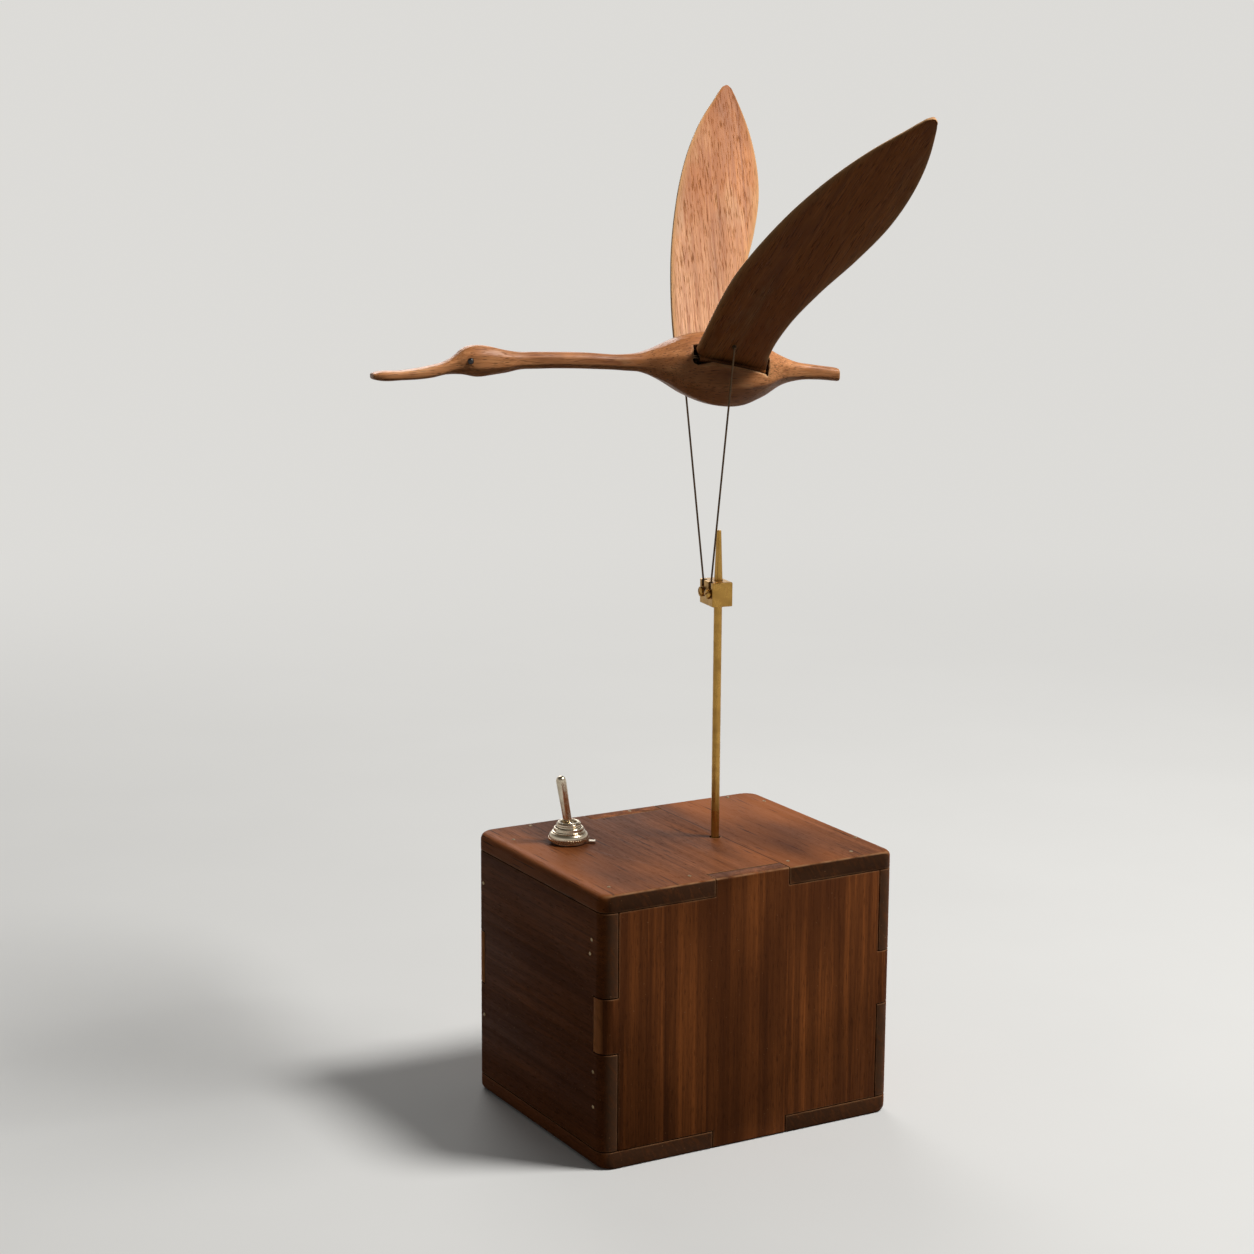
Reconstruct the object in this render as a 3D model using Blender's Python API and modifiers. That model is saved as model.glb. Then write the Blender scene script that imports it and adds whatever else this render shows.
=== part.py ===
"""Kinetic flying-bird sculpture: a carved bird flaps over a finger-jointed walnut box.

A gear motor in the box turns a crank, the crank lifts a brass rod, and two wires on the rod carry the
bird by its hinged wings. The origin is the middle of the box's underside, X runs along the box's front,
Y from front to back and Z up. The bird flies towards -X.
"""

import math

import bmesh
import bpy
import numpy as np
from mathutils import Matrix

MM = 0.001

# Gap that pieces which touch, seat or run on each other keep
FIT = 0.3 * MM

# Box of six boards
BOX_WIDTH = 122.0 * MM
BOX_DEPTH = 96.0 * MM
BOX_HEIGHT = 100.0 * MM
BOARD = 6.35 * MM
TOP_TAB = 30.5 * MM
SIDE_TAB = 20.0 * MM
SIDE_TAB_CENTRE = 52.5 * MM
CORNER_RADIUS = 2.6 * MM
LID_CORNER_RADIUS = 4.6 * MM
END_RADIUS = 2.2 * MM
EDGE_ROUND = 0.7 * MM
TRIM = 1.0 * MM
SKIN = 0.02 * MM

# Toggle switch on the lid
SWITCH_FROM_LEFT = 22.8 * MM
SWITCH_FROM_BACK = 29.8 * MM
SWITCH_LENGTH = 24.0 * MM
SWITCH_WIDTH = 15.0 * MM
SWITCH_DEPTH = 18.0 * MM
LUG_LENGTH = 7.0 * MM
LUG_WIDTH = 4.0 * MM
LUG_THICKNESS = 0.8 * MM
LUG_SPACING = 7.5 * MM
BUSHING_RADIUS = 4.5 * MM
BUSHING_RISE = 7.9 * MM
BUSHING_BORE = 3.0 * MM
LOCK_NUT_RADIUS = 7.6 * MM
LOCK_NUT_THICKNESS = 2.0 * MM
KEY_WASHER_RADIUS = 6.6 * MM
KEY_WASHER_THICKNESS = 0.6 * MM
KEY_TAB_REACH = 9.8 * MM
KEY_TAB_WIDTH = 2.2 * MM
KEY_TAB_TURN = math.radians(-35.0)
SKIRT_RADIUS = 7.6 * MM
SKIRT_HEIGHT = 1.9 * MM
SKIRT_TEETH = 48
TOOTH_DEPTH = 0.45 * MM
COLLAR_RADIUS = 6.8 * MM
COLLAR_TOP_RADIUS = 5.6 * MM
COLLAR_HEIGHT = 2.8 * MM
LEVER_PIVOT_RISE = 5.5 * MM
LEVER_LENGTH = 20.2 * MM
LEVER_NECK_RADIUS = 1.6 * MM
LEVER_TIP_RADIUS = 1.85 * MM
LEVER_LEAN = math.radians(-10.0)

# Lift rod and the block clamped on it
ROD_X = 12.8 * MM
ROD_Y = -1.2 * MM
HEADING = math.radians(-8.0)
ROD_RADIUS = 1.5 * MM
ROD_RISE = 114.7 * MM
ROD_TAPER = 17.5 * MM
ROD_TIP_RADIUS = 0.85 * MM
ROD_HOLE_GAP = 0.6 * MM
BLOCK_RISE = 87.5 * MM
BLOCK_HEIGHT = 8.9 * MM
BLOCK_LENGTH = 7.9 * MM
BLOCK_WIDTH = 12.0 * MM
BLOCK_SHIFT = -0.8 * MM
BLOCK_ROUND = 0.4 * MM
SCREW_HEAD_RADIUS = 1.8 * MM
SCREW_HEAD_HEIGHT = 1.3 * MM
SCREW_SHANK_RADIUS = 0.8 * MM
SCREW_REACH = 2.0 * MM
SCREW_SPACING = 5.7 * MM
SCREW_DROP = 4.4 * MM
SCREW_SLOT = 0.5 * MM
GUIDE_FLANGE_RADIUS = 6.0 * MM
GUIDE_FLANGE = 2.0 * MM
GUIDE_RADIUS = 3.6 * MM
GUIDE_LENGTH = 10.0 * MM

# Wires from the block to the wings
WIRE_RADIUS = 0.35 * MM
WIRE_INSET = 0.4 * MM
WIRE_SPACING = 6.2 * MM
WIRE_SEAT = 2.0 * MM
WIRE_NOTCH_GAP = 0.8 * MM
LEFT_HOOK_ALONG = -2.5 * MM
RIGHT_HOOK_ALONG = -12.0 * MM
HOOK_OUT = 10.0 * MM

# Bird: rows of distance behind the rod, height above the hinge line, half height and half width
BIRD_RISE = 175.4 * MM
BODY_SECTIONS = (
    (-129.6, -0.65, 0.95, 2.3),
    (-128.0, -0.65, 1.35, 3.0),
    (-118.9, -0.65, 1.6, 3.4),
    (-109.0, 0.2, 2.0, 3.2),
    (-103.2, 1.4, 2.25, 3.0),
    (-100.0, 2.3, 3.2, 3.4),
    (-97.0, 3.3, 4.55, 4.1),
    (-92.6, 3.4, 5.55, 4.7),
    (-87.4, 3.3, 5.05, 4.5),
    (-82.0, 3.0, 4.05, 3.9),
    (-77.0, 3.0, 3.15, 3.2),
    (-70.0, 2.95, 3.0, 3.0),
    (-52.0, 2.25, 2.9, 2.95),
    (-38.0, 1.2, 2.9, 3.0),
    (-31.0, 1.0, 3.6, 3.8),
    (-24.0, 0.6, 6.2, 6.2),
    (-15.0, -0.6, 10.5, 9.2),
    (-4.0, -2.0, 13.4, 10.4),
    (6.0, -2.6, 13.3, 10.2),
    (15.0, -3.3, 9.6, 8.4),
    (22.0, -3.4, 5.8, 5.8),
    (29.0, -4.0, 3.4, 4.2),
    (37.0, -4.7, 2.6, 3.7),
    (45.3, -5.75, 2.4, 4.2),
)
BODY_SQUARENESS = 2.2
EYE_ALONG = -95.5 * MM
EYE_HEIGHT = 3.8 * MM
EYE_OUT = 3.95 * MM
EYE_RADIUS = 1.15 * MM

# Wing hinges, and wings as rows of distance out from the pin, leading edge and trailing edge
HINGE_OUT = 6.0 * MM
HINGE_PITCH = math.radians(12.0)
PIN_RADIUS = 0.75 * MM
PIN_SEAT = 2.0 * MM
KNUCKLE_RADIUS = 2.2 * MM
POCKET_GAP = 0.5 * MM
POCKET_FRONT_GAP = 1.5 * MM
POCKET_REAR_GAP = 0.5 * MM
LEFT_WING_RISE = math.radians(47.0)
RIGHT_WING_RISE = math.radians(54.0)
FLAP_DOWN = math.radians(25.0)
FLAP_UP = math.radians(10.0)
FLAP_MARGIN = math.radians(2.5)
WING_OUTLINE = (
    (0.0, -15.2, 14.5),
    (9.0, -15.8, 12.3),
    (24.0, -16.3, 12.0),
    (42.0, -15.8, 15.2),
    (60.0, -13.4, 20.3),
    (78.0, -9.4, 23.9),
    (94.0, -4.0, 24.2),
    (108.0, 2.6, 22.3),
    (119.0, 9.3, 19.2),
    (123.4, 12.0, 17.6),
    (125.4, 13.6, 16.5),
    (126.0, 14.6, 15.6),
)
WING_BOW = {-1: (-1.4 * MM, 0.5 * MM), 1: (1.6 * MM, 0.8 * MM)}
WING_ROOT_THICKNESS = 2.5 * MM
WING_TIP_THICKNESS = 1.3 * MM
WING_SQUARENESS = 2.8

# Drive inside the box
SHAFT_RISE = 27.5 * MM
CRANK_RADIUS = 4.0 * MM
CRANK_DISC_RADIUS = 8.0 * MM
CRANK_DISC_THICKNESS = 3.0 * MM
CRANK_PIN_RADIUS = 1.5 * MM
CRANK_PIN_STANDOFF = 1.2 * MM
LINK_LENGTH = 26.0 * MM
LINK_EYE_RADIUS = 3.6 * MM
LINK_WIDTH = 4.4 * MM
LINK_THICKNESS = 2.0 * MM
WRIST_PIN_RADIUS = 1.2 * MM
CLEVIS_RADIUS = 4.0 * MM
CLEVIS_HEIGHT = 13.0 * MM
CLEVIS_WRIST_HEIGHT = 4.5 * MM
CLEVIS_SLOT_HEIGHT = 9.0 * MM
SHAFT_RADIUS = 2.0 * MM
SHAFT_SEAT = 6.0 * MM
BRACKET_PLATE = 2.0 * MM
BRACKET_WIDTH = 32.0 * MM
BRACKET_HEIGHT = 43.0 * MM
BRACKET_FOOT = 20.0 * MM
BRACKET_STANDOFF = 1.0 * MM
BOSS_RADIUS = 4.0 * MM
GEARBOX_RADIUS = 12.5 * MM
GEARBOX_LENGTH = 12.0 * MM
MOTOR_RADIUS = 11.8 * MM
MOTOR_LENGTH = 14.0 * MM
MOTOR_END_ROUND = 1.2 * MM

# Two cells in a tray
CELL_RADIUS = 7.1 * MM
CELL_LENGTH = 49.2 * MM
CELL_NUB_RADIUS = 2.7 * MM
CELL_NUB_LENGTH = 1.2 * MM
TRAY_WALL = 1.5 * MM
TRAY_DEPTH = 11.0 * MM
TRAY_GAP = 2.5 * MM
TRAY_END_ROOM = 3.0 * MM

# Facets
ROUND_STEPS = 32
SMALL_STEPS = 16
BODY_RING = 18
WING_RING = 16

# Worked out from the sizes above
LID_UNDERSIDE = BOX_HEIGHT - BOARD
FLOOR = BOARD + FIT
SWITCH_X = -BOX_WIDTH / 2 + SWITCH_FROM_LEFT
SWITCH_Y = BOX_DEPTH / 2 - SWITCH_FROM_BACK
SHAFT_Z = FLOOR + SHAFT_RISE
WRIST_Z = SHAFT_Z + CRANK_RADIUS + LINK_LENGTH
CLEVIS_BASE = WRIST_Z - CLEVIS_WRIST_HEIGHT
LINK_BACK = ROD_Y + LINK_THICKNESS / 2
DISC_FRONT = LINK_BACK + CRANK_PIN_STANDOFF
DISC_BACK = DISC_FRONT + CRANK_DISC_THICKNESS
BRACKET_FRONT = DISC_BACK + BRACKET_STANDOFF
GEARBOX_FRONT = BRACKET_FRONT + BRACKET_PLATE + FIT
MOTOR_FRONT = GEARBOX_FRONT + GEARBOX_LENGTH + FIT
ROD_TOP = BOX_HEIGHT + ROD_RISE
BLOCK_BASE = BOX_HEIGHT + BLOCK_RISE
BLOCK_TOP = BLOCK_BASE + BLOCK_HEIGHT
HINGE_Z = BOX_HEIGHT + BIRD_RISE
WING_SPAN = WING_OUTLINE[-1][0] * MM
ROOT_FRONT = WING_OUTLINE[0][1] * MM
ROOT_REAR = WING_OUTLINE[0][2] * MM


for old in list(bpy.data.objects):
    bpy.data.objects.remove(old, do_unlink=True)

parts = bpy.data.collections.new("flying_bird_sculpture")
cutters = bpy.data.collections.new("cutters")
for group in (parts, cutters):
    bpy.context.scene.collection.children.link(group)


def material(name, colour, roughness, metallic=0.0):
    """One Principled material with the piece's colour, roughness and metallic value."""
    made = bpy.data.materials.new(name)
    made.use_nodes = True
    shader = made.node_tree.nodes["Principled BSDF"]
    shader.inputs["Base Color"].default_value = (*colour, 1.0)
    shader.inputs["Roughness"].default_value = roughness
    shader.inputs["Metallic"].default_value = metallic
    return made


BOX_WALNUT = material("box_walnut", (0.115, 0.048, 0.026), 0.55)
BIRD_WOOD = material("bird_wood", (0.30, 0.125, 0.060), 0.50)
BRASS = material("brass", (0.60, 0.40, 0.13), 0.32, 1.0)
NICKEL = material("nickel", (0.72, 0.68, 0.58), 0.22, 1.0)
STEEL = material("steel", (0.20, 0.18, 0.16), 0.40, 1.0)
BLACK_BEAD = material("black_bead", (0.006, 0.005, 0.005), 0.18)
BLACK_PLASTIC = material("black_plastic", (0.015, 0.015, 0.016), 0.45)
MOTOR_STEEL = material("motor_steel", (0.45, 0.45, 0.46), 0.35, 1.0)
CELL_SLEEVE = material("cell_sleeve", (0.10, 0.11, 0.13), 0.40)


def frame(name, parent, location, rotation=(0.0, 0.0, 0.0)):
    """An empty that carries the pieces of one moving body."""
    empty = bpy.data.objects.new(name, None)
    empty.location = location
    empty.rotation_euler = rotation
    empty.empty_display_size = 0.01
    empty.parent = parent
    parts.objects.link(empty)
    return empty


def add(name, mesh, finish=None, parent=None, place=None):
    """Links a mesh as a piece with its finish, or as a hidden cutter where it has none."""
    obj = bpy.data.objects.new(name, mesh)
    if finish is None:
        cutters.objects.link(obj)
        obj.hide_render = True
        obj.display_type = "WIRE"
    else:
        parts.objects.link(obj)
        mesh.materials.append(finish)
    obj.parent = parent
    if place is not None:
        obj.matrix_basis = place
    return obj


def smooth_shaded(mesh):
    mesh.shade_smooth()
    mesh.set_sharp_from_angle(angle=math.radians(35.0))
    return mesh


def from_bmesh(name, shape):
    mesh = bpy.data.meshes.new(name)
    shape.to_mesh(mesh)
    shape.free()
    return mesh


def block_mesh(name, low, high):
    """A box between two corners."""
    shape = bmesh.new()
    bmesh.ops.create_cube(shape, size=1.0)
    size = [b - a for a, b in zip(low, high)]
    middle = [(a + b) / 2 for a, b in zip(low, high)]
    bmesh.ops.scale(shape, vec=size, verts=shape.verts)
    bmesh.ops.translate(shape, vec=middle, verts=shape.verts)
    return from_bmesh(name, shape)


def round_mesh(name, radius, start, end, axis="Z", across=(0.0, 0.0), steps=ROUND_STEPS):
    """A cylinder along an axis from start to end; across is its place on the other two axes in order."""
    shape = bmesh.new()
    bmesh.ops.create_cone(shape, cap_ends=True, segments=steps, radius1=radius, radius2=radius,
                          depth=end - start)
    bmesh.ops.translate(shape, vec=(0.0, 0.0, (start + end) / 2), verts=shape.verts)
    turn = {"X": Matrix.Rotation(math.pi / 2, 4, "Y"), "Y": Matrix.Rotation(-math.pi / 2, 4, "X"),
            "Z": Matrix.Identity(4)}[axis]
    shift = {"X": (0.0, *across), "Y": (across[0], 0.0, across[1]), "Z": (*across, 0.0)}[axis]
    bmesh.ops.transform(shape, matrix=Matrix.Translation(shift) @ turn, verts=shape.verts)
    return smooth_shaded(from_bmesh(name, shape))


def turned(name, profile, finish, parent=None, place=None, steps=ROUND_STEPS):
    """A turned piece: (radius, height) points from the top of the axis to its foot, spun about Z.

    A piece with a hole right through has a profile clear of the axis, which is closed into a loop.
    """
    mesh = bpy.data.meshes.new(name)
    points = [(radius, 0.0, height) for radius, height in profile]
    edges = [(i, i + 1) for i in range(len(points) - 1)]
    if profile[0][0] > 0.0:
        edges.append((len(points) - 1, 0))
    mesh.from_pydata(points, edges, [])
    obj = add(name, mesh, finish, parent, place)
    spin = obj.modifiers.new("spin", "SCREW")
    spin.steps = steps
    spin.render_steps = steps
    spin.use_merge_vertices = True
    spin.merge_threshold = 0.00001
    spin.use_smooth_shade = True
    return obj


def sheet_mesh(name, outline, thickness):
    """A flat outline in XY with a thickness centred on Z, as a closed mesh."""
    curve = bpy.data.curves.new(name, "CURVE")
    curve.dimensions = "2D"
    curve.fill_mode = "BOTH"
    curve.extrude = thickness / 2
    spline = curve.splines.new("POLY")
    spline.points.add(len(outline) - 1)
    for point, (x, y) in zip(spline.points, outline):
        point.co = (x, y, 0.0, 1.0)
    spline.use_cyclic_u = True
    flat = bpy.data.objects.new(name, curve)
    bpy.context.scene.collection.objects.link(flat)
    graph = bpy.context.evaluated_depsgraph_get()
    mesh = bpy.data.meshes.new_from_object(flat.evaluated_get(graph))
    bpy.data.objects.remove(flat, do_unlink=True)
    shape = bmesh.new()
    shape.from_mesh(mesh)
    bmesh.ops.remove_doubles(shape, verts=shape.verts, dist=0.000001)
    bmesh.ops.dissolve_limit(shape, angle_limit=0.001, verts=shape.verts, edges=shape.edges)
    bmesh.ops.recalc_face_normals(shape, faces=shape.faces)
    shape.to_mesh(mesh)
    shape.free()
    return mesh


def loft_mesh(name, rings):
    """A closed skin over an array of rings, with flat ends."""
    count, around, _ = rings.shape
    index = np.arange(count * around).reshape(count, around)
    after = np.roll(index, -1, axis=1)
    sides = np.stack([index[:-1], after[:-1], after[1:], index[1:]], axis=-1).reshape(-1, 4)
    faces = [*sides.tolist(), index[0][::-1].tolist(), index[-1].tolist()]
    mesh = bpy.data.meshes.new(name)
    mesh.from_pydata(rings.reshape(-1, 3).tolist(), [], faces)
    shape = bmesh.new()
    shape.from_mesh(mesh)
    bmesh.ops.triangulate(shape, faces=shape.faces)
    bmesh.ops.recalc_face_normals(shape, faces=shape.faces)
    shape.to_mesh(mesh)
    shape.free()
    return smooth_shaded(mesh)


def boolean(obj, other, operation="DIFFERENCE"):
    step = obj.modifiers.new(other.name, "BOOLEAN")
    step.object = other
    step.operation = operation
    return obj


def smooth_curve(known_at, known, at):
    """Cubic curve through the known points, with each slope taken from the points on either side."""
    slope = np.gradient(known, known_at)
    low = np.clip(np.searchsorted(known_at, at, side="right") - 1, 0, len(known_at) - 2)
    width = known_at[low + 1] - known_at[low]
    t = (at - known_at[low]) / width
    return ((2 * t**3 - 3 * t**2 + 1) * known[low] + (t**3 - 2 * t**2 + t) * width * slope[low]
            + (3 * t**2 - 2 * t**3) * known[low + 1] + (t**3 - t**2) * width * slope[low + 1])


def superellipse(around, squareness):
    """Unit ring: cosine and sine to a power, round at 2 and squarer above it."""
    angle = np.linspace(0.0, 2 * np.pi, around, endpoint=False)
    power = 2.0 / squareness
    wide = np.sign(np.cos(angle)) * np.abs(np.cos(angle)) ** power
    tall = np.sign(np.sin(angle)) * np.abs(np.sin(angle)) ** power
    return wide, tall


def arc(centre, radius, start, end, steps=6):
    angles = np.linspace(start, end, steps + 1)
    return [(centre[0] + radius * math.cos(a), centre[1] + radius * math.sin(a)) for a in angles]


def notched_outline(half_width, half_length, notch, notch_shift):
    """A board with a notch in the middle of its two ends, for a tab of the next board."""
    low = notch_shift - notch / 2 - FIT
    high = notch_shift + notch / 2 + FIT
    floor = half_length - BOARD - FIT
    end = [(half_width, half_length + TRIM), (high, half_length + TRIM), (high, floor), (low, floor),
           (low, half_length + TRIM), (-half_width, half_length + TRIM)]
    return end + [(x, -y) for x, y in reversed(end)]


def rounded_rectangle(half_x, half_y, radius, steps):
    """A rectangle about the origin with a quarter circle at each corner."""
    corners = []
    for sx, sy, start in ((1, 1, 0.0), (-1, 1, 0.5), (-1, -1, 1.0), (1, -1, 1.5)):
        centre = (sx * (half_x - radius), sy * (half_y - radius))
        corners += arc(centre, radius, start * math.pi, (start + 0.5) * math.pi, steps)
    return corners


def build_box():
    """Six boards, trimmed by one envelope so that all outer faces and corners are flush.

    The envelope is the box's plan carried up, met by its front view carried back.
    """
    half_w = BOX_WIDTH / 2
    half_d = BOX_DEPTH / 2
    half_h = BOX_HEIGHT / 2
    raised = Matrix.Translation((0.0, 0.0, half_h))
    plan = rounded_rectangle(half_w, half_d, CORNER_RADIUS, 6)
    envelope = add("box_envelope", sheet_mesh("box_envelope", plan, BOX_HEIGHT), place=raised)
    front_view = rounded_rectangle(half_w, half_h, END_RADIUS, 4)
    ends = add("box_ends", sheet_mesh("box_ends", front_view, BOX_DEPTH + 2 * TRIM),
               place=raised @ Matrix.Rotation(math.pi / 2, 4, "X"))
    rim = envelope.modifiers.new("rim", "BEVEL")
    rim.width = EDGE_ROUND
    rim.segments = 3
    rim.limit_method = "ANGLE"
    rim.angle_limit = math.radians(40.0)
    boolean(envelope, ends, "INTERSECT")

    boards = {}
    core = BOARD + FIT
    tab_low = SIDE_TAB_CENTRE - SIDE_TAB / 2
    tab_high = SIDE_TAB_CENTRE + SIDE_TAB / 2
    for name, near, far in (("front_panel", -half_d - TRIM, BOARD - half_d),
                            ("back_panel", half_d - BOARD, half_d + TRIM)):
        panel = block_mesh(name, (core - half_w, near, core), (half_w - core, far, BOX_HEIGHT - core))
        upright = block_mesh(name, (-TOP_TAB / 2, near, -TRIM), (TOP_TAB / 2, far, BOX_HEIGHT + TRIM))
        level = block_mesh(name, (-half_w - TRIM, near, tab_low), (half_w + TRIM, far, tab_high))
        boards[name] = add(name, panel, BOX_WALNUT)
        boolean(boards[name], add(f"{name}_top_tabs", upright), "UNION")
        boolean(boards[name], add(f"{name}_side_tabs", level), "UNION")

    uprights = notched_outline(half_h - BOARD - FIT, half_d, SIDE_TAB, half_h - SIDE_TAB_CENTRE)
    for name, side in (("left_panel", -1), ("right_panel", 1)):
        middle = side * (half_w - BOARD / 2 + TRIM / 2)
        place = Matrix.Translation((middle, 0.0, half_h)) @ Matrix.Rotation(math.pi / 2, 4, "Y")
        boards[name] = add(name, sheet_mesh(name, uprights, BOARD + TRIM), BOX_WALNUT, place=place)

    flats = notched_outline(half_w + TRIM, half_d, TOP_TAB, 0.0)
    for name, middle in (("lid", BOX_HEIGHT - BOARD / 2 + TRIM / 2), ("base_panel", BOARD / 2 - TRIM / 2)):
        place = Matrix.Translation((0.0, 0.0, middle))
        boards[name] = add(name, sheet_mesh(name, flats, BOARD + TRIM), BOX_WALNUT, place=place)

    for board in boards.values():
        boolean(board, envelope, "INTERSECT")
    softened = rounded_rectangle(half_w + SKIN, half_d + SKIN, LID_CORNER_RADIUS, 6)
    trim = add("lid_trim", sheet_mesh("lid_trim", softened, BOX_HEIGHT + 2 * TRIM), place=raised)
    for name in ("lid", "base_panel"):
        boolean(boards[name], trim, "INTERSECT")
    below = LID_UNDERSIDE - TRIM
    above = BOX_HEIGHT + TRIM
    rod_hole = round_mesh("rod_hole", ROD_RADIUS + ROD_HOLE_GAP, below, above, across=(ROD_X, ROD_Y))
    switch_hole = round_mesh("switch_hole", BUSHING_RADIUS + FIT, below, above, across=(SWITCH_X, SWITCH_Y))
    boolean(boards["lid"], add("rod_hole", rod_hole))
    boolean(boards["lid"], add("switch_hole", switch_hole))


def build_switch():
    """Toggle switch: body and lock nut under the lid, bushing through it, dress nut above, and the lever."""
    place = Matrix.Translation((SWITCH_X, SWITCH_Y, 0.0))
    bore = BUSHING_RADIUS + FIT
    nut_top = LID_UNDERSIDE - FIT
    lock_nut = round_mesh("switch_lock_nut", LOCK_NUT_RADIUS, nut_top - LOCK_NUT_THICKNESS, nut_top, steps=6)
    lock_nut = add("switch_lock_nut", lock_nut, NICKEL, place=place)
    eye = round_mesh("lock_nut_eye", bore, nut_top - LOCK_NUT_THICKNESS - TRIM, nut_top + TRIM)
    boolean(lock_nut, add("lock_nut_eye", eye, place=place))

    top = nut_top - LOCK_NUT_THICKNESS - FIT
    low = (-SWITCH_LENGTH / 2, -SWITCH_WIDTH / 2, top - SWITCH_DEPTH)
    high = (SWITCH_LENGTH / 2, SWITCH_WIDTH / 2, top)
    body = add("switch_body", block_mesh("switch_body", low, high), BLACK_PLASTIC, place=place)
    for number, shift in enumerate((-LUG_SPACING, LUG_SPACING)):
        low = (shift - LUG_THICKNESS / 2, -LUG_WIDTH / 2, top - SWITCH_DEPTH - LUG_LENGTH)
        high = (shift + LUG_THICKNESS / 2, LUG_WIDTH / 2, top - SWITCH_DEPTH / 2)
        lug = add(f"switch_lug_{number}", block_mesh("lug", low, high), place=place)
        boolean(body, lug, "UNION")

    bushing_top = BOX_HEIGHT + BUSHING_RISE
    pivot = BOX_HEIGHT + LEVER_PIVOT_RISE
    bore_floor = pivot - BUSHING_BORE - FIT
    lip = (BUSHING_RADIUS - BUSHING_BORE) / 2
    turned("switch_bushing", [
        (0.0, bore_floor), (BUSHING_BORE, bore_floor), (BUSHING_BORE, bushing_top - lip / 2),
        (BUSHING_BORE + lip / 2, bushing_top), (BUSHING_RADIUS - lip, bushing_top),
        (BUSHING_RADIUS - lip / 4, bushing_top - lip / 3), (BUSHING_RADIUS, bushing_top - lip),
        (BUSHING_RADIUS, top + FIT), (0.0, top + FIT),
    ], NICKEL, place=place)

    key_base = BOX_HEIGHT + FIT
    key_top = key_base + KEY_WASHER_THICKNESS
    key = turned("switch_key_washer", [
        (bore, key_top), (KEY_WASHER_RADIUS, key_top), (KEY_WASHER_RADIUS, key_base), (bore, key_base),
    ], NICKEL, place=place)
    low = (bore + FIT, -KEY_TAB_WIDTH / 2, key_base)
    tab_mesh = block_mesh("key_tab", low, (KEY_TAB_REACH, KEY_TAB_WIDTH / 2, key_top))
    tab = add("key_tab", tab_mesh, place=place @ Matrix.Rotation(KEY_TAB_TURN, 4, "Z"))
    boolean(key, tab, "UNION")

    skirt_base = key_top + FIT
    skirt_top = skirt_base + SKIRT_HEIGHT
    collar_top = skirt_top + COLLAR_HEIGHT
    angles = np.linspace(0.0, 2 * np.pi, 4 * SKIRT_TEETH, endpoint=False)
    wave = np.where(np.arange(4 * SKIRT_TEETH) % 4 < 2, SKIRT_RADIUS, SKIRT_RADIUS - TOOTH_DEPTH)
    teeth = list(zip(wave * np.cos(angles), wave * np.sin(angles)))
    lift = Matrix.Translation((0.0, 0.0, (skirt_base + skirt_top) / 2))
    knurl = add("nut_skirt", sheet_mesh("nut_skirt", teeth, SKIRT_HEIGHT), place=place @ lift)
    rim = COLLAR_HEIGHT * 0.12
    sunk = skirt_base + SKIRT_HEIGHT / 2
    collar = [(0.0, collar_top), (COLLAR_TOP_RADIUS - rim, collar_top), (COLLAR_TOP_RADIUS, collar_top - rim),
              (COLLAR_TOP_RADIUS, collar_top - 3 * rim), (COLLAR_RADIUS, skirt_top), (COLLAR_RADIUS, sunk),
              (0.0, sunk)]
    nut = turned("switch_dress_nut", collar, NICKEL, place=place)
    boolean(nut, knurl, "UNION")
    eye = round_mesh("dress_nut_eye", bore, skirt_base - TRIM, collar_top + TRIM)
    boolean(nut, add("dress_nut_eye", eye, place=place))

    axis = frame("toggle_axis", None, (SWITCH_X, SWITCH_Y, pivot), (0.0, LEVER_LEAN, 0.0))
    ball = BUSHING_BORE - FIT
    dome = [(LEVER_TIP_RADIUS * math.sin(a), LEVER_LENGTH - LEVER_TIP_RADIUS * (1 - math.cos(a)))
            for a in np.linspace(0.0, math.pi / 2, 6)]
    join = math.asin(LEVER_NECK_RADIUS / ball)
    foot = [(ball * math.sin(a), ball * math.cos(a)) for a in np.linspace(join, math.pi, 10)]
    turned("toggle_lever", dome + foot, NICKEL, axis, steps=20)


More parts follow.
